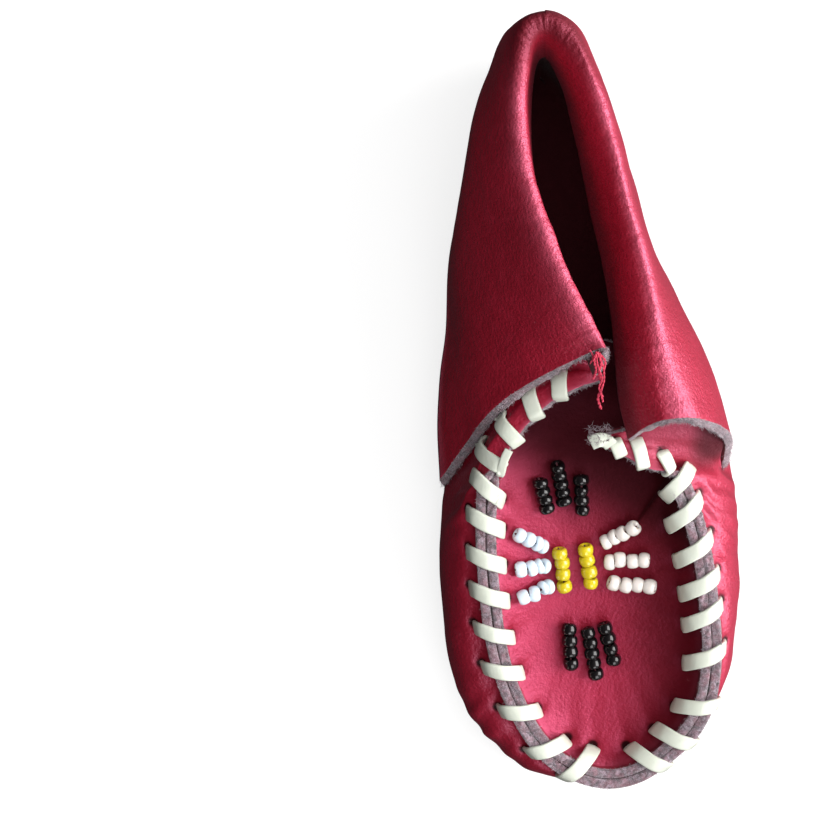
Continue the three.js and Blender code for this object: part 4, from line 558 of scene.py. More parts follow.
# ------------------------------------------------------------------ surfaces
# throat rings: the ring just below the rim is set square to it, and the wall stations slide to meet it
for k, q in {40: (-15.6, -5.7, 26.7), 39: (-13.2, -2.1, 27.8), 38: (-10.2, 1.4, 28.8), 37: (-6.9, 3.9, 29.7), 36: (-3.6, 5.5, 30.4), 35: (-1.9, 5.7, 30.7),
             34: (-3.3, 6.6, 30.7), 12: (9.0, -6.3, 28.5), 13: (6.0, -4.7, 29.7), 14: (3.3, -3.8, 30.4)}.items():
    BOTTOM[k, 6] = q
SLIDE = np.array([[0, 0], [29, 29], [30, 30], [31, 30.9], [32, 31.8], [33, 32.5], [34, 33.1], [35, 33.6], [36, 34.2], [37, 35.1], [38, 36.3], [39, 37.7], [40, 39.1], [41, 41], [51, 51]], float)
nB = len(BOTTOM)
usB = np.linspace(0, nB, int(760 * Q), endpoint=False)
vsB = np.unique(np.concatenate([np.linspace(0, 2, int(14 * Q)), np.linspace(2, 6, int(64 * Q)), np.linspace(6, 7, int(14 * Q))]))
slid = np.interp(usB, SLIDE[:, 0], SLIDE[:, 1])
ring_rows = np.concatenate([cr(BOTTOM[:, :6], slid, True), cr(BOTTOM[:, 6:], usB, True)], 1)
gB = cr(np.swapaxes(ring_rows, 0, 1), vsB, False)
gB[..., 2] = np.maximum(gB[..., 2], 0)
gB[0, :, 2] = 0
NB = soft_normals(gB, True)
if NB[len(vsB) // 3, len(usB) // 4] @ np.array([gB[len(vsB) // 3, len(usB) // 4, 0], 0, 0]) < 0:
    NB = -NB

# the tongue reaches on under the quarters
for k, q in {12: (12.6, -5.2, 23.4), 13: (10.6, .2, 23.8), 14: (7.1, 5.2, 24.0), 15: (2.9, 8.4, 24.2), 16: (-1.6, 9.0, 24.2), 17: (-6.0, 6.8, 24.2), 18: (-9.0, 3.2, 24.0), 19: (-11.8, -2.4, 23.8)}.items():
    d = unit(np.array(q) - np.array([-.5, -2.0, q[2]]))
    PLUG[k, 0] = q; PLUG[k, 1] = np.array(q) + d * 1.1
PLUG[11] = [(10.85, -10.5, 24.0), (10.85, -10.5, 26.3)]; PLUG[20] = [(-12.9, -7.6, 24.0), (-13.7, -7.1, 24.3)]
nP = len(PLUG)
usP = np.linspace(0, nP, int(560 * Q), endpoint=False)
edgeP = cr(PLUG, usP, True)                            # (U, 2, 3)
fsP = np.concatenate([[.02], np.linspace(.05, .8, int(34 * Q)), np.linspace(.8, 1.0, int(26 * Q))[1:]])
rings = []
for f in fsP:
    p = CENTRE + (edgeP[:, 0] - CENTRE) * f
    w = f ** 4
    p[:, 2] = np.interp(p[:, 1], CROWN[:, 0], CROWN[:, 1]) * (1 - w) + edgeP[:, 0, 2] * w
    # the empty shoe lets the plug sink between its seams
    p[:, 2] -= 3.1 * (1 - f ** 2.2) * smooth(-56, -44, p[:, 1]) + 1.4 * smooth(-9, 0, p[:, 1]) * (1 - f ** 6)
    rings.append(p)
for t in np.linspace(0, 1, int(10 * Q) + 2)[1:]:
    rings.append(edgeP[:, 0] * (1 - t) + edgeP[:, 1] * t)
gP = np.stack(rings)
kP = len(fsP)
for _ in range(3):
    gP[kP - 5:kP + 3] = (gP[kP - 6:kP + 2] + gP[kP - 5:kP + 3] * 2 + gP[kP - 4:kP + 4]) / 4
NP = soft_normals(gP, True, 1)
if NP[5, 0, 2] < 0:
    NP = -NP
FP = np.concatenate([fsP, np.ones(len(gP) - kP)])[:, None] * np.ones((1, len(usP)))


class Skin:
    """Walks a leather surface: s along its rim, d down from the rim, off above the grain."""

    def __init__(self, g, n):
        self.g, self.n = g, n
        rim = g[-1]
        self.L = np.concatenate([[0], np.cumsum(np.linalg.norm(np.diff(np.concatenate([rim, rim[:1]]), axis=0), axis=1))])
        seg = np.linalg.norm(np.diff(g[::-1], axis=0), axis=2)
        self.D = np.concatenate([np.zeros((1, g.shape[1])), np.cumsum(seg, 0)])

    def nearest(self, p):
        return int(np.argmin(((self.g[-1] - p) ** 2).sum(1)))

    def at(self, col, s, d, off, sign=1):
        n = self.g.shape[1]
        l = (self.L[col] + s * sign) % self.L[-1]
        c = int(np.searchsorted(self.L, l)) % n
        D = self.D[:, c]; gg = self.g[::-1, c]; nn = self.n[::-1, c]
        d0 = max(d, 0)
        p = np.array([np.interp(d0, D, gg[:, k]) for k in range(3)]); m = unit(np.array([np.interp(d0, D, nn[:, k]) for k in range(3)]))
        if d < 0:
            p = p + unit(gg[0] - gg[2]) * -d
        return p + m * off, m


SKB, SKP = Skin(gB, NB), Skin(gP, NP)
THROAT_U = {"left": {9: 40.14, 10: 38.94, 11: 37.88, 12: 36.94}, "right": {9: 11.72, 10: 12.62, 11: 13.38}}


THROAT_V = {"left": [((561, 398), (560, 373)), ((538, 416), (528, 391)), ((517, 442), (502, 417)), ((499, 467), (483, 443))],
            "right": [((620, 459), (616, 443)), ((642, 467), (636, 441)), ((670, 477), (662, 454))]}


def in_view(p):
    kz = .151 * (1 - p[..., 2] / 500)
    return np.stack([(p[..., 0] + 25.95) / kz + 414, 414 - (p[..., 1] + .51) / kz], -1)


def throat_line(rim_v, hole_v, rise):
    """Straight run of one throat turn, from the rim to its slit, with the leather's mean normal and its rise above the run."""
    rim = gB[-1]; p0 = rim[np.argmin(((in_view(rim) - rim_v) ** 2).sum(-1))]
    sel = (vsB[:, None] > 4.3) & (vsB[:, None] < 6.9) & (NB[..., 2] > .1)
    S, SN = gB[sel], NB[sel]
    S, SN = S[np.linalg.norm(S - p0, axis=1) < 9], SN[np.linalg.norm(S - p0, axis=1) < 9]
    p1 = S[np.argmin(((in_view(S) - hole_v) ** 2).sum(-1))]
    L = np.linalg.norm(p1 - p0); tt = unit(p1 - p0)
    ms = []
    for q_ in (p0 + tt * .6, p1):
        near = np.linalg.norm(S - q_, axis=1) < 1.5
        m = SN[near].mean(0) if near.any() else SN[np.argmin(np.linalg.norm(S - q_, axis=1))]
        ms.append(unit(m - tt * (m @ tt)))
    m = unit(ms[0] + ms[1]); sd = np.cross(tt, m)
    rel = S - p0; al, la, up_ = rel @ tt, rel @ sd, rel @ m
    ok = (al > .15 * L) & (al < .85 * L) & (np.abs(la) < 1.0) & (np.abs(up_) < 2.5)
    return p0, p1, ms, L, float(np.clip(up_[ok].max() if ok.any() else 0, 0, rise))


def lace_controls(side):
    T = LACES[side]; rows = []; holes_in = []; holes_out = []
    r = np.random.RandomState(11 if side == "left" else 23)
    sg = -1 if side == "left" else 1          # heel-ward is falling u on the left, rising on the right
    sgp = -1 if side == "left" else 1
    for k, q in enumerate(T):
        if side == "right" and k == 12:
            continue                           # torn off here: only a stub is left, made below
        o = q[0:3]; js, jd = r.normal(0, .10), r.normal(0, .08)
        if k in THROAT_U[side]:
            c = int(round(THROAT_U[side][k] / nB * len(usB))) % len(usB)
            rim_guess = in_view(gB[-1, c])
            rim_v, hole_v = min(THROAT_V[side], key=lambda e: np.hypot(*(np.array(e[0]) - rim_guess)))
            p0, p1, ms, L, H = throat_line(rim_v, hole_v, 1.3 if side == "left" else .45)
            tt = unit(p1 - p0); LE = LEATHER; ww = 1.0 if side == "left" else .86
            M_ = lambda f: unit(ms[0] * (1 - f) + ms[1] * f)
            sd = np.cross(tt, ms[0]); across = unit(np.array([-tt[1], tt[0], 0]))
            lean = float(np.clip((ms[0] @ across) / ((sd @ across) or 1e-6), -1.2, 1.2))   # keeps the return under the run
            seq = [(1.8, -LE - 1.0, 0, -1, 0, .85), (.8, -LE - .40, 0, -1, 0, .9), (-.14, -LE * .9, 0, -1, -1, .95), (-.36, -LE * .45, 0, 0, -1, 1),
                   (.02, .30, 0, 1, -.35, 1)]
            seq += [(L * f, .31 + H * 4 * f * (1 - f), f, 1, 0, 1) for f in (.25, .5, .75)]
            seq += [(L - .15, .20, 1, 1, .25, 1), (L + .18, -.28, 1, .8, 1, 1), (L + .22, -.95, 1, 0, 1, 1), (L + .1, -LE - 1.2, 1, 0, 1, .9)]
            for a_, d_, f_, dm, dt, w in seq:
                m = M_(f_); sl = sd * (lean * max(0, -d_ - .5)) if f_ == 0 else 0
                off = np.array([0, 0, d_]) if f_ == 1 and d_ < 0 else m * d_
                rows.append([p0 + tt * a_ + off + sl, unit(m * dm + tt * dt), w * ww])
            holes_out.append(p1 + tt * .42)
        else:
            t, n, up = q[3:6], q[6:9], q[9:12]
            sh = 0.0 if side == "left" else -1.1
            if side == "left":
                sh = {0: -1.3, 1: -.6}.get(k, 0.0)
            if side == "right" and k == 8:
                sh = -1.5
            jw = 1 + r.normal(0, .03); on = 1.2 if side == "right" and k == 8 else 0.0
            at = lambda s_, nn, u: o + t * (s_ * (.3 if on else 1) + js) + n * (nn + on) + (up * u if u > 0 else np.array([0, 0, u]))
            dr = lambda nn, u: unit(n * nn + up * u)
            for s_, nn, u, dn, du, w in (
                    (-1.30, -2.35 + sh, -4.9, -1, -.3, .9), (-1.30, -2.60 + sh, -3.75, -1, 0, 1), (-1.28, -2.60 + sh, -2.8, -1, .2, 1), (-1.16, -2.38 + sh * .95, -1.6, -.9, .5, 1), (-.8, -1.68 + sh * .65, -.04, -.55, .83, 1),
                    (0, sh * .3, .60, 0, 1, 1), (.8, 1.68 + sh * .4, .04, .6, .8, 1), (1.15, 2.30 + sh * .5, -1.35, .92, .4, 1),
                    (1.27, 2.50 + sh * .5, -2.6, 1, .05, 1), (1.28, 2.46 + sh * .5, -3.7, 1, 0, 1), (1.28, 2.2 + sh * .5, -4.9, 1, -.3, .9)):
                rows.append([at(s_, nn, u), dr(dn, du), w * jw])
            hp, hb = at(-1.3, -2.6 + sh, -2.9), at(1.28, 2.5 + sh * .5, -3.3)
            hp = gP[:kP].reshape(-1, 3)[np.argmin(((gP[:kP].reshape(-1, 3) - hp) ** 2).sum(1))]
            fb = gB.reshape(-1, 3); hb = fb[np.argmin(((fb - hb) ** 2).sum(1))]
            holes_in.append(hp - n * .35 + t * (.2 if side == "left" else -.35)); holes_out.append(hb + n * .2 + t * .75)
        rows[-1].append("end")
    # hidden run to the next turn
    out = []
    for i, rw in enumerate(rows):
        out.append(rw[:3])
        if len(rw) == 4 and i < len(rows) - 1:
            a, b = rw[0], rows[i + 1][0]
            out.append([(a + b) / 2 + np.array([0, 0, -.5]), unit(rw[1] + rows[i + 1][1] + 1e-3), .6])
    return out, np.array(holes_in), np.array(holes_out)


LROWS = {s_: lace_controls(s_) for s_ in LACES}
HOLES_IN = np.concatenate([LROWS[s_][1] for s_ in LACES]); HOLES_OUT = np.concatenate([LROWS[s_][2] for s_ in LACES])

# ------------------------------------------------------------------ bottom: sole and sides
g, N = gB, NB
V = vsB[:, None] * np.ones((1, len(usB)))
wall = smooth(1.2, 3.0, V) * smooth(7.0, 6.2, V)
P = g + N * (wall * (fbm(g, 11, 3, 2) * .32 + fbm(g * np.array([1, 1, .35]), 4.2, 9, 2) * .12))[..., None]
# folds on the right wall below the cuff, and gathers under the lacing
cx = lambda px, py, z: np.array([(px - 414) * .151 * (1 - z / 500) - 25.95, (414 - py) * .151 * (1 - z / 500) - .51, z])
for (px, py, z), amp, lam, ang, rad in (((716, 505, 18), .17, 2.4, .5, 8.5), ((700, 540, 20), .12, 2.0, .9, 6.5), ((470, 480, 19), .22, 2.6, -.5, 7.0),
                                         ((480, 740, 9), .22, 4.0, -.8, 9.0)):
    c0 = cx(px, py, z); d = np.linalg.norm(P - c0, axis=-1)
    ph = (P[..., 1] * math.cos(ang) + P[..., 0] * math.sin(ang)) / lam * 2 * math.pi + 1.3 * vnoise(P / 3.0, 5)
    P = P + N * (amp * np.exp(-(d / rad) ** 2) * np.sin(ph) * wall)[..., None]
# painted shade: darkened round the lace holes, in the cavity under the right cuff's curled edge, and lightly beside the
# throat where the flap shades the quarter
P, painted_shade_bottom = holes_effect(P, N, HOLES_OUT, .95, .5)
cav = np.linalg.norm(P - cx(722, 445, 27), axis=-1)
painted_shade_bottom = np.maximum(painted_shade_bottom, .85 * smooth(7.0, 2.5, cav))
painted_shade_bottom = np.maximum(painted_shade_bottom, .26 * smooth(10.0, 4.5, np.linalg.norm(P - cx(650, 446, 29), axis=-1)))
P[..., 2] = np.maximum(P[..., 2], 0)
I = P - N * (LEATHER + .20 * smooth(6.1, 6.7, V) * np.isin((usB // 1).astype(int), list(range(0, 11)) + list(range(41, 51))))[..., None]
I[..., 2] = np.maximum(I[..., 2], LEATHER)
nh = unit(N[len(vsB) // 4] * np.array([1, 1, 0]))
I[0] = P[0] - nh * LEATHER * .5; I[0, :, 2] = LEATHER
b = Builder()
edgewear = smooth(6.75, 7.0, V) * .35 + smooth(1.0, .2, V) * .25
io = b.add(P, dark=painted_shade_bottom.ravel(), wear=edgewear.ravel()).reshape(V.shape)
# painted shade: the inside of the shoe is darkened, more towards the bottom
inside_painted_shade = .35 + .3 * smooth(20, 5, I[..., 2])
ii = b.add(I, dark=inside_painted_shade.ravel()).reshape(V.shape)
b.sheet(io, True, 0); b.sheet(ii, True, 1, flip=True)
# rim: cut edge, crowned and rough
rim = [io[-1]]
top, bot = P[-1], I[-1]
up_dir = unit(P[-1] - P[-2])
for f in (.2, .4, .6, .8):
    p = top * (1 - f) + bot * f
    h = .16 * math.sin(math.pi * f) + .30 * fbm(p, .6, 31, 3) + .16 * fbm(p, 2.2, 37, 2)
    rim.append(b.add(p + up_dir * h[:, None]))
rim.append(ii[-1])
b.sheet(np.stack(rim), True, 2)
b.faces(io[0][None, ::-1], 0); b.faces(ii[0][None], 1)
r_ = np.random.RandomState(3)
sel = r_.randint(0, len(usB), int(4200 * Q)); f = r_.uniform(.0, 1.0, (len(sel), 1))
fibres(b, top[sel] * (1 - f) + bot[sel] * f, up_dir[sel], .62, .045, 3, 5, .9)
bottom = b.make("bottom_leather", [M_BOT, M_FLESH, M_EDGE, M_FIBRE])
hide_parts("sole_and_sides"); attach(bottom, "shoe")

# ------------------------------------------------------------------ plug
g, N, F, k1 = gP, NP, FP, kP
inner = smooth(1.0, .9, F)
P = g + N * ((fbm(g, 13, 17, 2) * .28 + fbm(g, 4.5, 19, 2) * .085) * (0.35 + .65 * inner))[..., None]
# gathers that run in from the holes
seamk = np.concatenate([LROWS["left"][1], LROWS["right"][1]])
gather = np.zeros(P.shape[:-1])
for h in seamk:
    dvec = P - h
    rad = unit((CENTRE - h) * np.array([1, 1, 0]))
    along = np.abs(dvec @ rad); d = np.linalg.norm(dvec[..., :2], axis=-1)
    across = np.sqrt(np.maximum(d ** 2 - along ** 2, 0))
    gather -= .26 * np.exp(-(across / 1.0) ** 2) * np.exp(-along / 4.2) * (dvec @ rad > -1)
P = P + np.array([0, 0, 1]) * (gather * inner)[..., None]
# painted shade: darkened round the lace holes, over the tongue where it lies under the cuffs, and over the plug's right
# side where the right cuff shades it
P, painted_shade_plug = holes_effect(P, N, HOLES_IN, 1.0, .55)
painted_shade_plug = np.maximum(painted_shade_plug, .93 * smooth(-25, -8, P[..., 1] + .6 * P[..., 0]))
painted_shade_plug = np.maximum(painted_shade_plug, .62 * smooth(-3, 10, P[..., 0] + .12 * (P[..., 1] + 20)))
lip = np.zeros(F.shape); lip[k1:] = 1; lip = (np.roll(lip, 1, 0) + lip) / 2; lip[0] = 0
seam_u = ~np.isin((usP // 1).astype(int), list(range(11, 21)))
I = P - N * (LEATHER + .20 * lip * seam_u)[..., None]
b = Builder()
io = b.add(P, dark=painted_shade_plug.ravel(), wear=(smooth(.93, 1.0, F) * .2).ravel()).reshape(F.shape)
# painted shade over the plug's flesh side
ii = b.add(I, dark=.3).reshape(F.shape)
b.sheet(io, True, 0); b.sheet(ii, True, 1, flip=True)
b.faces(io[0][None, ::-1], 0); b.faces(ii[0][None], 1)
rim = [io[-1]]; top, bot = P[-1], I[-1]; up_dir = unit(P[-1] - P[-3])
for f in (.2, .4, .6, .8):
    p = top * (1 - f) + bot * f
    h = .16 * math.sin(math.pi * f) + .30 * fbm(p, .6, 41, 3) + .16 * fbm(p, 2.2, 47, 2)
    rim.append(b.add(p + up_dir * h[:, None]))
rim.append(ii[-1]); b.sheet(np.stack(rim), True, 2)
sel = r_.randint(0, len(usP), int(3400 * Q)); f = r_.uniform(.0, 1.0, (len(sel), 1))
fibres(b, top[sel] * (1 - f) + bot[sel] * f, up_dir[sel], .60, .045, 3, 6, .9)
plug = b.make("plug_leather", [M_PLUG, M_FLESH, M_EDGE, M_FIBRE])
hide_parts("vamp_plug"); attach(plug, "shoe")
PLUG_PTS = P[:k1].reshape(-1, 3)


def plug_z(x, y):
    d = (PLUG_PTS[:, 0] - x) ** 2 + (PLUG_PTS[:, 1] - y) ** 2
    k = np.argsort(d)[:4]; w = 1 / (d[k] + 1e-4)
    return float((PLUG_PTS[k, 2] * w).sum() / w.sum())


def cuff_half(name, u0, u1, front, seed, nodes, body):
    us = np.linspace(u0, u1, int(abs(u1 - u0) * 24 * Q) + 1)
    vs = np.concatenate([np.linspace(0, 2, int(26 * Q)), np.linspace(2, 3.3, int(26 * Q))[1:], np.linspace(3.3, 5, int(44 * Q))[1:]])
    g = grid(CUFF, us, vs, False)
    N = normals(g, False)
    k = np.argmin(abs(vs - 4)); j = len(us) // 2
    out = np.array([1, 0, 0]) if body == "cuff_right" else np.array([-1, 0, 0])
    if N[k, j] @ out < 0:
        N = -N
    V = vs[:, None] * np.ones((1, len(us))); U = us[None] * np.ones((len(vs), 1))
    P = g + N * (fbm(g, 12, seed, 2) * .22 + fbm(g * np.array([1, .45, 1]), 3.4, seed + 5, 2) * .075)[..., None]
    # creases across the fold
    fold = np.exp(-((V - 2.4) / .55) ** 2)
    cr_ = fbm(np.stack([U * 5.5, V * .5, U * 0], -1), 1.0, seed + 9, 3)
    P = P + N * (fold * cr_ * .16)[..., None]
    # soft waves in the hem
    hem = smooth(4.2, 5.0, V)
    P = P + N * (hem * .30 * np.sin(U * 2.1 + seed))[..., None]
    I = P - N * LEATHER
    # cut edges are skived: the flesh side runs on a little
    fj = -1 if front == "last" else 0
    fd = unit(g[:, fj] - g[:, fj - 1 if fj == -1 else 1])
    ragged = .20 * fbm(P[:, fj], .8, seed + 2, 3)
    ext = (.75 + ragged)[:, None] * fd * smooth(.2, 1.0, vs)[:, None]
    for c, wgt in ((0, 1.0), (1, .45), (2, .15)):
        idx = fj - c if fj == -1 else c
        I[:, idx] = I[:, idx] + ext * wgt
    hd = unit(g[-1] - g[-2])
    I[-1] = I[-1] + hd * (.45 + .15 * fbm(P[-1], .9, seed + 4, 3))[:, None]
    b = Builder()
    # wear and painted highlight: the fold crest is lightened as a painted highlight, the hem as wear
    wear = np.exp(-((V - 2.45) / .42) ** 2) * .42 + smooth(4.85, 5.0, V) * .4
    # painted shade: at the heel the crest highlight is dropped and the fold darkened; the foot of the standing part,
    # deep in the slot, is darkened too
    heel = smooth(42, 52, P[..., 1]) * smooth(1.2, 2.0, V) * smooth(3.6, 2.8, V)
    wear = wear * (1 - .9 * heel)
    dark = np.maximum(smooth(1.3, .2, V) * .55, .62 * heel)
    io = b.add(P, wear=wear.ravel(), dark=dark.ravel()).reshape(V.shape)
    # painted shade over the flesh side
    ii = b.add(I, dark=.15).reshape(V.shape)
    b.sheet(io, False, 0); b.sheet(ii, False, 1, flip=True)

    def strip(a, c, pa, pc, seed2, flip, fuzz):
        rows = [a]; nrm = None
        mid = []
        for f in (.25, .5, .75):
            p = pa * (1 - f) + pc * f
            e = fuzz * (.10 * math.sin(math.pi * f) + .15 * fbm(p, .5, seed2, 3))[:, None]
            rows.append(b.add(p + e))
        rows.append(c)
        b.sheet(np.stack(rows), False, 2, flip=flip)
    strip(io[-1], ii[-1], P[-1], I[-1], seed + 11, False, hd)
    strip(io[0], ii[0], P[0], I[0], seed + 12, True, -unit(g[1] - g[0]))
    strip(io[:, fj], ii[:, fj], P[:, fj], I[:, fj], seed + 13, fj == -1, fd)
    oj = 0 if fj == -1 else -1
    b.sheet(np.stack([io[:, oj], ii[:, oj]]), False, 0, flip=fj != -1)
    r2 = np.random.RandomState(seed)
    m = int(1800 * Q); s = r2.randint(int(len(vs) * .2), len(vs), m); f = r2.uniform(0, 1, (m, 1))
    fibres(b, P[s, fj] * (1 - f) + I[s, fj] * f, unit(fd[s] + N[s, fj] * .6), .6, .026, 3, seed + 1)
    m = int(700 * Q); s = r2.randint(0, len(us), m); f = r2.uniform(0, 1, (m, 1))
    fibres(b, P[-1][s] * (1 - f) + I[-1][s] * f, unit(hd[s] - N[-1][s] * .4), .24, .024, 3, seed + 3)
    ob = b.make(name, [M_CUFF, M_FLESH, M_EDGE, M_FIBRE])
    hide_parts(*nodes)
    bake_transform(ob)
    return ob, g, N


cuffL, gL, NL = cuff_half("cuff_left_leather", 10, 19, "last", 51, ["cuff_flap_left", "cuff_heel"], "cuff_left")
cuffR, gR, NR = cuff_half("cuff_right_leather", 0, 10, "first", 71, ["cuff_flap_right", "cuff_standing"], "cuff_right")


# ------------------------------------------------------------------ lacing
def at_px(px, py, z):
    """A point from the view's own grid: x and y steps of 0.151 mm on the floor."""
    return np.array([(px - 414) * .151 * (1 - z / 500) - 25.95, (414 - py) * .151 * (1 - z / 500) - .51, z])


def small_ribbon(b, pts, outward, width, thick):
    P = cr(np.array(pts, float), np.linspace(0, len(pts) - 1, 22), False)
    t = unit(np.gradient(P, axis=0)); sd = unit(np.cross(t, np.array(outward, float))); up = np.cross(sd, t)
    K = 14; a = np.linspace(0, 2 * math.pi, K, endpoint=False)
    sx = np.sign(np.cos(a)) * np.abs(np.cos(a)) ** .35; sy = np.sign(np.sin(a)) * np.abs(np.sin(a)) ** .55
    w = (width / 2 * (1 - .25 * smooth(18, 21, np.arange(22)) * vnoise(P * 3, 8)))[:, None, None]
    ring = P[:, None] + sd[:, None] * (w * sx[None, :, None]) + up[:, None] * (thick / 2 * sy[None, :, None])
    ids = b.add(ring.reshape(-1, 3), tint=.4).reshape(22, K)
    b.sheet(ids, True, 0); b.faces(ids[0][None, ::-1], 0); b.faces(ids[-1][None], 0)


def lace_mesh(side, node):
    rows = LROWS[side][0]
    Pc = np.array([r[0] for r in rows]); O = np.array([r[1] for r in rows]); W = np.array([r[2] for r in rows])
    n = len(Pc); u = np.linspace(0, n - 1, int((n - 1) * 7 * max(Q, .6)) + 1)
    P = cr(Pc, u, False); O = unit(cr(O, u, False)); W = np.clip(cr(W[:, None], u, False)[:, 0], .5, 1.1)
    t = unit(np.gradient(P, axis=0)); side_ = unit(np.cross(t, O)); up = np.cross(side_, t)
    K = 16; a = np.linspace(0, 2 * math.pi, K, endpoint=False)
    sx = np.sign(np.cos(a)) * np.abs(np.cos(a)) ** .35; sy = np.sign(np.sin(a)) * np.abs(np.sin(a)) ** .55
    w = (2.3 / 2 * W)[:, None, None]; th = .62 / 2
    crown_ = (1 - (sx[None, :, None]) ** 2) * .06
    ring = P[:, None] + side_[:, None] * (w * sx[None, :, None]) + up[:, None] * (th * sy[None, :, None] + crown_)
    ring = ring + up[:, None] * (fbm(ring, 2.3, 61, 2) * .05)[..., None]
    b = Builder()
    ids = b.add(ring.reshape(-1, 3), tint=np.repeat(.5 + .5 * vnoise(P / 5.0, 3), K)).reshape(len(P), K)
    b.sheet(ids, True, 0); b.faces(ids[0][None, ::-1], 0); b.faces(ids[-1][None], 0)
    if side == "left":                         # tail tucked back under the first throat turn
        small_ribbon(b, [at_px(509, 450, 28.6), at_px(505, 458, 28.2), at_px(502, 467, 27.6), at_px(500, 476, 26.6)], (0, .2, 1), 1.25, .45)
    else:                                      # torn stub at the corner of the right quarter
        small_ribbon(b, [at_px(611, 445, 31.0), at_px(606, 441, 32.1), at_px(599, 440, 32.5), at_px(591, 443, 32.0)], (-.1, -.3, 1), 2.1, .5)
    ob = b.make(node + "_ribbon", [M_LACE])
    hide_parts(node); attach(ob, "shoe")
    return ob


lace_mesh("left", "lace_left"); lace_mesh("right", "lace_right")


# ------------------------------------------------------------------ beads
def bead(b, c, axis, r, half, seed, mat=0):
    K, S = (14, 26) if Q == 1 else (8, 14)
    rr = np.random.RandomState(seed)
    a = np.linspace(0, 2 * math.pi, K, endpoint=False)
    hole = .28
    rc, ra = (r + hole) / 2, (r - hole) / 2
    R = rc + ra * np.sign(np.cos(a)) * np.abs(np.cos(a)) ** 1.0
    Y = half * np.sign(np.sin(a)) * np.abs(np.sin(a)) ** .92
    ph = np.linspace(0, 2 * math.pi, S, endpoint=False)
    axis = unit(axis); s = unit(np.cross(axis, np.array([.1, .2, 1.0]))); q = np.cross(s, axis)
    ov = 1 + .03 * np.cos(ph * 2 + rr.uniform(0, 6))
    ring = c + Y[:, None, None] * axis + (R[:, None] * ov[None])[..., None] * (np.cos(ph)[None, :, None] * s + np.sin(ph)[None, :, None] * q)
    ids = b.add(ring.reshape(-1, 3), tint=rr.uniform(0, 1)).reshape(K, S)
    q_ = np.concatenate([ids, ids[:1]])
    b.sheet(q_, True, mat)


for bi, (name, cs) in enumerate(BEADS.items()):
    cs = np.array(cs, float); n = len(cs)
    rr = np.random.RandomState(100 + bi)
    for c in cs:
        c[2] = plug_z(c[0], c[1]) + 1.08
    cs[:, 2] = np.polyval(np.polyfit(np.arange(n), cs[:, 2], 1), np.arange(n)) + .04
    ax = unit(np.gradient(cs, axis=0))
    b = Builder()
    col = name.split("_")[0]
    for k in range(n):
        gap = np.linalg.norm(cs[min(k + 1, n - 1)] - cs[max(k - 1, 0)]) / (min(k + 1, n - 1) - max(k - 1, 0))
        half = min(.90, max(.60, gap * .52))
        tilt = rr.normal(0, .26 if name.startswith('white_right') else .14, 3)
        bead(b, cs[k] + rr.normal(0, .03, 3), ax[k] + tilt, 1.16 * rr.uniform(.96, 1.04), half * rr.uniform(.95, 1.0), 1000 + 17 * bi + k)
    d0, d1 = ax[0], ax[-1]
    a0 = cs[0] - d0 * .66; a1 = cs[-1] + d1 * .66
    e0 = a0 - d0 * .12 - np.array([0, 0, 1.3]); e1 = a1 + d1 * .12 - np.array([0, 0, 1.3])
    path = np.array([e0, a0 - np.array([0, 0, .35]), *cs, a1 - np.array([0, 0, .35]), e1])
    tube(b, cr(path, np.linspace(0, len(path) - 1, 40), False), .16, 8, 1)
    mat = {"white": M_WB if "left" in name else M_WC, "yellow": M_YE, "black": M_BK}[col]
    ob = b.make("row_" + name, [mat, M_BEADTHREAD])
    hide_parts("beads_" + name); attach(ob, "shoe")


# ------------------------------------------------------------------ threads
def twisted(b, path, r, turns_per_mm=.9, mat=0, samples=60):
    u = np.linspace(0, len(path) - 1, samples); p = cr(np.asarray(path, float), u, False)
    L = np.concatenate([[0], np.cumsum(np.linalg.norm(np.diff(p, axis=0), axis=1))])
    t = unit(np.gradient(p, axis=0)); n = unit(np.cross(t, np.array([.2, .3, .93]))); m = np.cross(t, n)
    for k in (0, 1):
        a = L * turns_per_mm * 2 * math.pi + math.pi * k
        tube(b, p + (n * np.cos(a)[:, None] + m * np.sin(a)[:, None]) * r * .5, r * .58, 6, mat)


# back seam: whip stitches up the heel, on a dark butt line
hw = grid(BOTTOM, np.array([24.85, 24.95, 25.05]), np.linspace(1.0, 3.0, 40), True)
b = Builder()
mid = hw[:, 1]; ex = np.array([1.0, 0, 0]); outd = unit(hw[:, 1] - np.array([-7.5, 30, 0])) * np.array([1, 1, 0])
tube(b, mid[mid[:, 2] < 19] + outd[mid[:, 2] < 19] * .02, .16, 8, 1)
zs = np.arange(3.4, 18.6, 2.3)
for k, z in enumerate(zs):
    i = int(np.argmin(abs(mid[:, 2] - z))); j = int(np.argmin(abs(mid[:, 2] - z - 1.2)))
    s = [mid[i] - ex * 1.3 - outd[i] * .25, mid[i] - ex * .9 + outd[i] * .28, mid[(i + j) // 2] + outd[i] * .50, mid[j] + ex * .9 + outd[j] * .28, mid[j] + ex * 1.3 - outd[j] * .25]
    twisted(b, s, .26, .9, 0, 24)
heel = b.make("heel_stitches", [M_THREAD_P, M_BEADTHREAD])
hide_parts("heel_seam_thread"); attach(heel, "shoe")


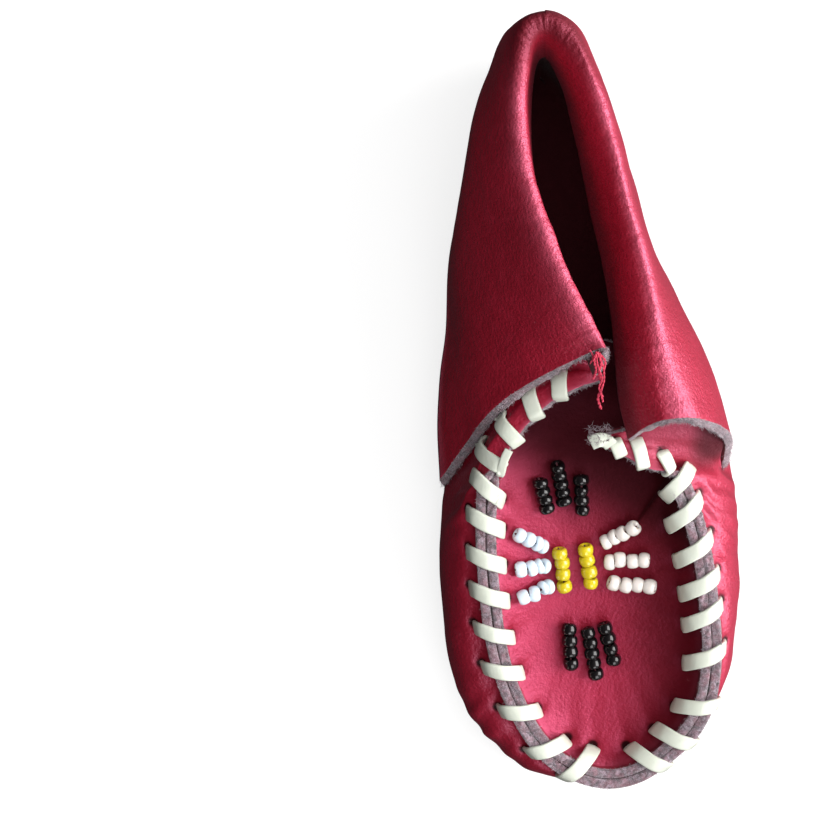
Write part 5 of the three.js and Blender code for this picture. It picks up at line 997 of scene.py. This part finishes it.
# frayed thread ends hanging in the throat, and the torn strip of hide at its foot
b = Builder()
for kk, pts in enumerate((
        [(597, 352, 42.0), (601, 362, 41.5), (599, 374, 40.4), (602, 386, 39.6), (598, 398, 39.0), (601, 409, 38.2)],
        [(597, 352, 42.2), (594, 360, 41.8), (596, 370, 41.0), (593, 379, 40.2)],
        [(599, 353, 41.9), (605, 361, 41.2), (604, 370, 40.4)],
        [(598, 354, 42.0), (603, 366, 41.0), (604, 380, 40.2), (601, 392, 39.6), (603, 402, 39.0)],
        [(596, 353, 42.0), (598, 366, 41.4), (602, 378, 40.6), (599, 388, 39.8), (603, 397, 39.3)],
        [(590, 350, 42.0), (593, 357, 41.7), (590, 364, 41.2)])):
    twisted(b, [at_px(*p) for p in pts], .22 - .02 * kk, .8, 0, 40)
fr = b.make("front_thread_frayed", [M_THREAD])
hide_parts("cuff_front_thread"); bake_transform(fr)

# torn grey tip of hide over the corner of the right quarter
b = Builder()
rt = np.random.RandomState(77)
n_ = 150
cp_ = np.array([at_px(rt.uniform(588, 611), rt.uniform(424, 443), 0) for _ in range(n_)])
tip = []
for q_ in cp_:
    z_ = 33.0
    k_ = (1 - z_ / 500)
    tip.append(((q_[0] + 25.95) * k_ - 25.95, (q_[1] + .51) * k_ - .51, z_ + rt.uniform(-.8, .4)))
tip = np.array(tip)
fibres(b, tip, unit(rt.normal(0, 1, (n_, 3)) * np.array([1, 1, .5])), .8, .05, 0, 21, .7)
frz = b.make("torn_tip_fibres", [M_EDGE])
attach(frz, "shoe")

# ------------------------------------------------------------------ floor, light, camera
me = bpy.data.meshes.new("floor")
me.from_pydata([(-3, -3, -.0002), (3, -3, -.0002), (3, 3, -.0002), (-3, 3, -.0002)], [], [(0, 1, 2, 3)])
floor = bpy.data.objects.new("floor", me); bpy.context.scene.collection.objects.link(floor)
fm, fnt, fp = new_mat("floor_white")
fp.inputs["Base Color"].default_value = (.36, .36, .36, 1); fp.inputs["Roughness"].default_value = .9
fp.inputs["Emission Color"].default_value = (1, 1, 1, 1); fp.inputs["Emission Strength"].default_value = .74
fp.inputs["Specular IOR Level"].default_value = 0.1
me.materials.append(fm)
floor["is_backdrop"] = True
floor.visible_diffuse = False; floor.visible_glossy = False; floor.visible_transmission = False

world = bpy.data.worlds.new("studio"); bpy.context.scene.world = world; world.use_nodes = True
wt = world.node_tree; bg = wt.nodes["Background"]
tc = wt.nodes.new("ShaderNodeTexCoord"); sep = wt.nodes.new("ShaderNodeSeparateXYZ")
wt.links.new(tc.outputs["Generated"], sep.inputs[0])
wx = ramp(wt, math_node(wt, "ADD", math_node(wt, "MULTIPLY", sep.outputs[0], .5), .5), [(0, (.05,) * 3), (.45, (.08,) * 3), (.8, (.55,) * 3), (1, (1.0,) * 3)])
wz = ramp(wt, math_node(wt, "ADD", math_node(wt, "MULTIPLY", sep.outputs[2], .5), .5), [(.2, (.35,) * 3), (.5, (.8,) * 3), (.8, (1.0,) * 3), (1, (1.0,) * 3)])
wc = mix(wt, 1.0, wx, wz, "MULTIPLY")
wt.links.new(wc, bg.inputs["Color"])
bg.inputs["Strength"].default_value = WORLD
vs_ = bpy.context.scene.view_settings
vs_.view_transform = "Standard"; vs_.look = "None"


def area(name, loc, target, size, power, color=(1, 1, 1), size_y=None):
    L = bpy.data.lights.new(name, "AREA"); L.energy = power; L.color = color; L.shape = "RECTANGLE" if size_y else "SQUARE"
    L.size = size
    if size_y:
        L.size_y = size_y
    o = bpy.data.objects.new(name, L); bpy.context.scene.collection.objects.link(o)
    o.location = loc
    d = Vector(target) - Vector(loc)
    o.rotation_euler = d.to_track_quat("-Z", "Y").to_euler()
    o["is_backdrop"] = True
    return o


area("key", (.42, .01, .31), (0, 0, .02), .46, KEY, (1, .985, .97), .44)
area("toe_light", (.12, -.42, .30), (0, -.02, .02), .28, .9)
area("top", (-.03, .04, .80), (0, 0, .02), .50, TOP).visible_glossy = False
area("low_right", (.50, -.03, .07), (0, 0, .02), .34, FILL, (1, .97, .98), .12)

cam = bpy.data.cameras.new("camera"); co = bpy.data.objects.new("camera", cam)
bpy.context.scene.collection.objects.link(co)
co.location = (-.02595, -.00051, .5); co.rotation_euler = (0, 0, 0)
cam.sensor_width = 36; cam.lens = 143.97; cam.clip_start = .01; cam.clip_end = 10
bpy.context.scene.camera = co

box = lambda c: [[float(x) for x in v] for v in c]
{"cad": box(START_BOUNDS), "visual": box(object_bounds())}
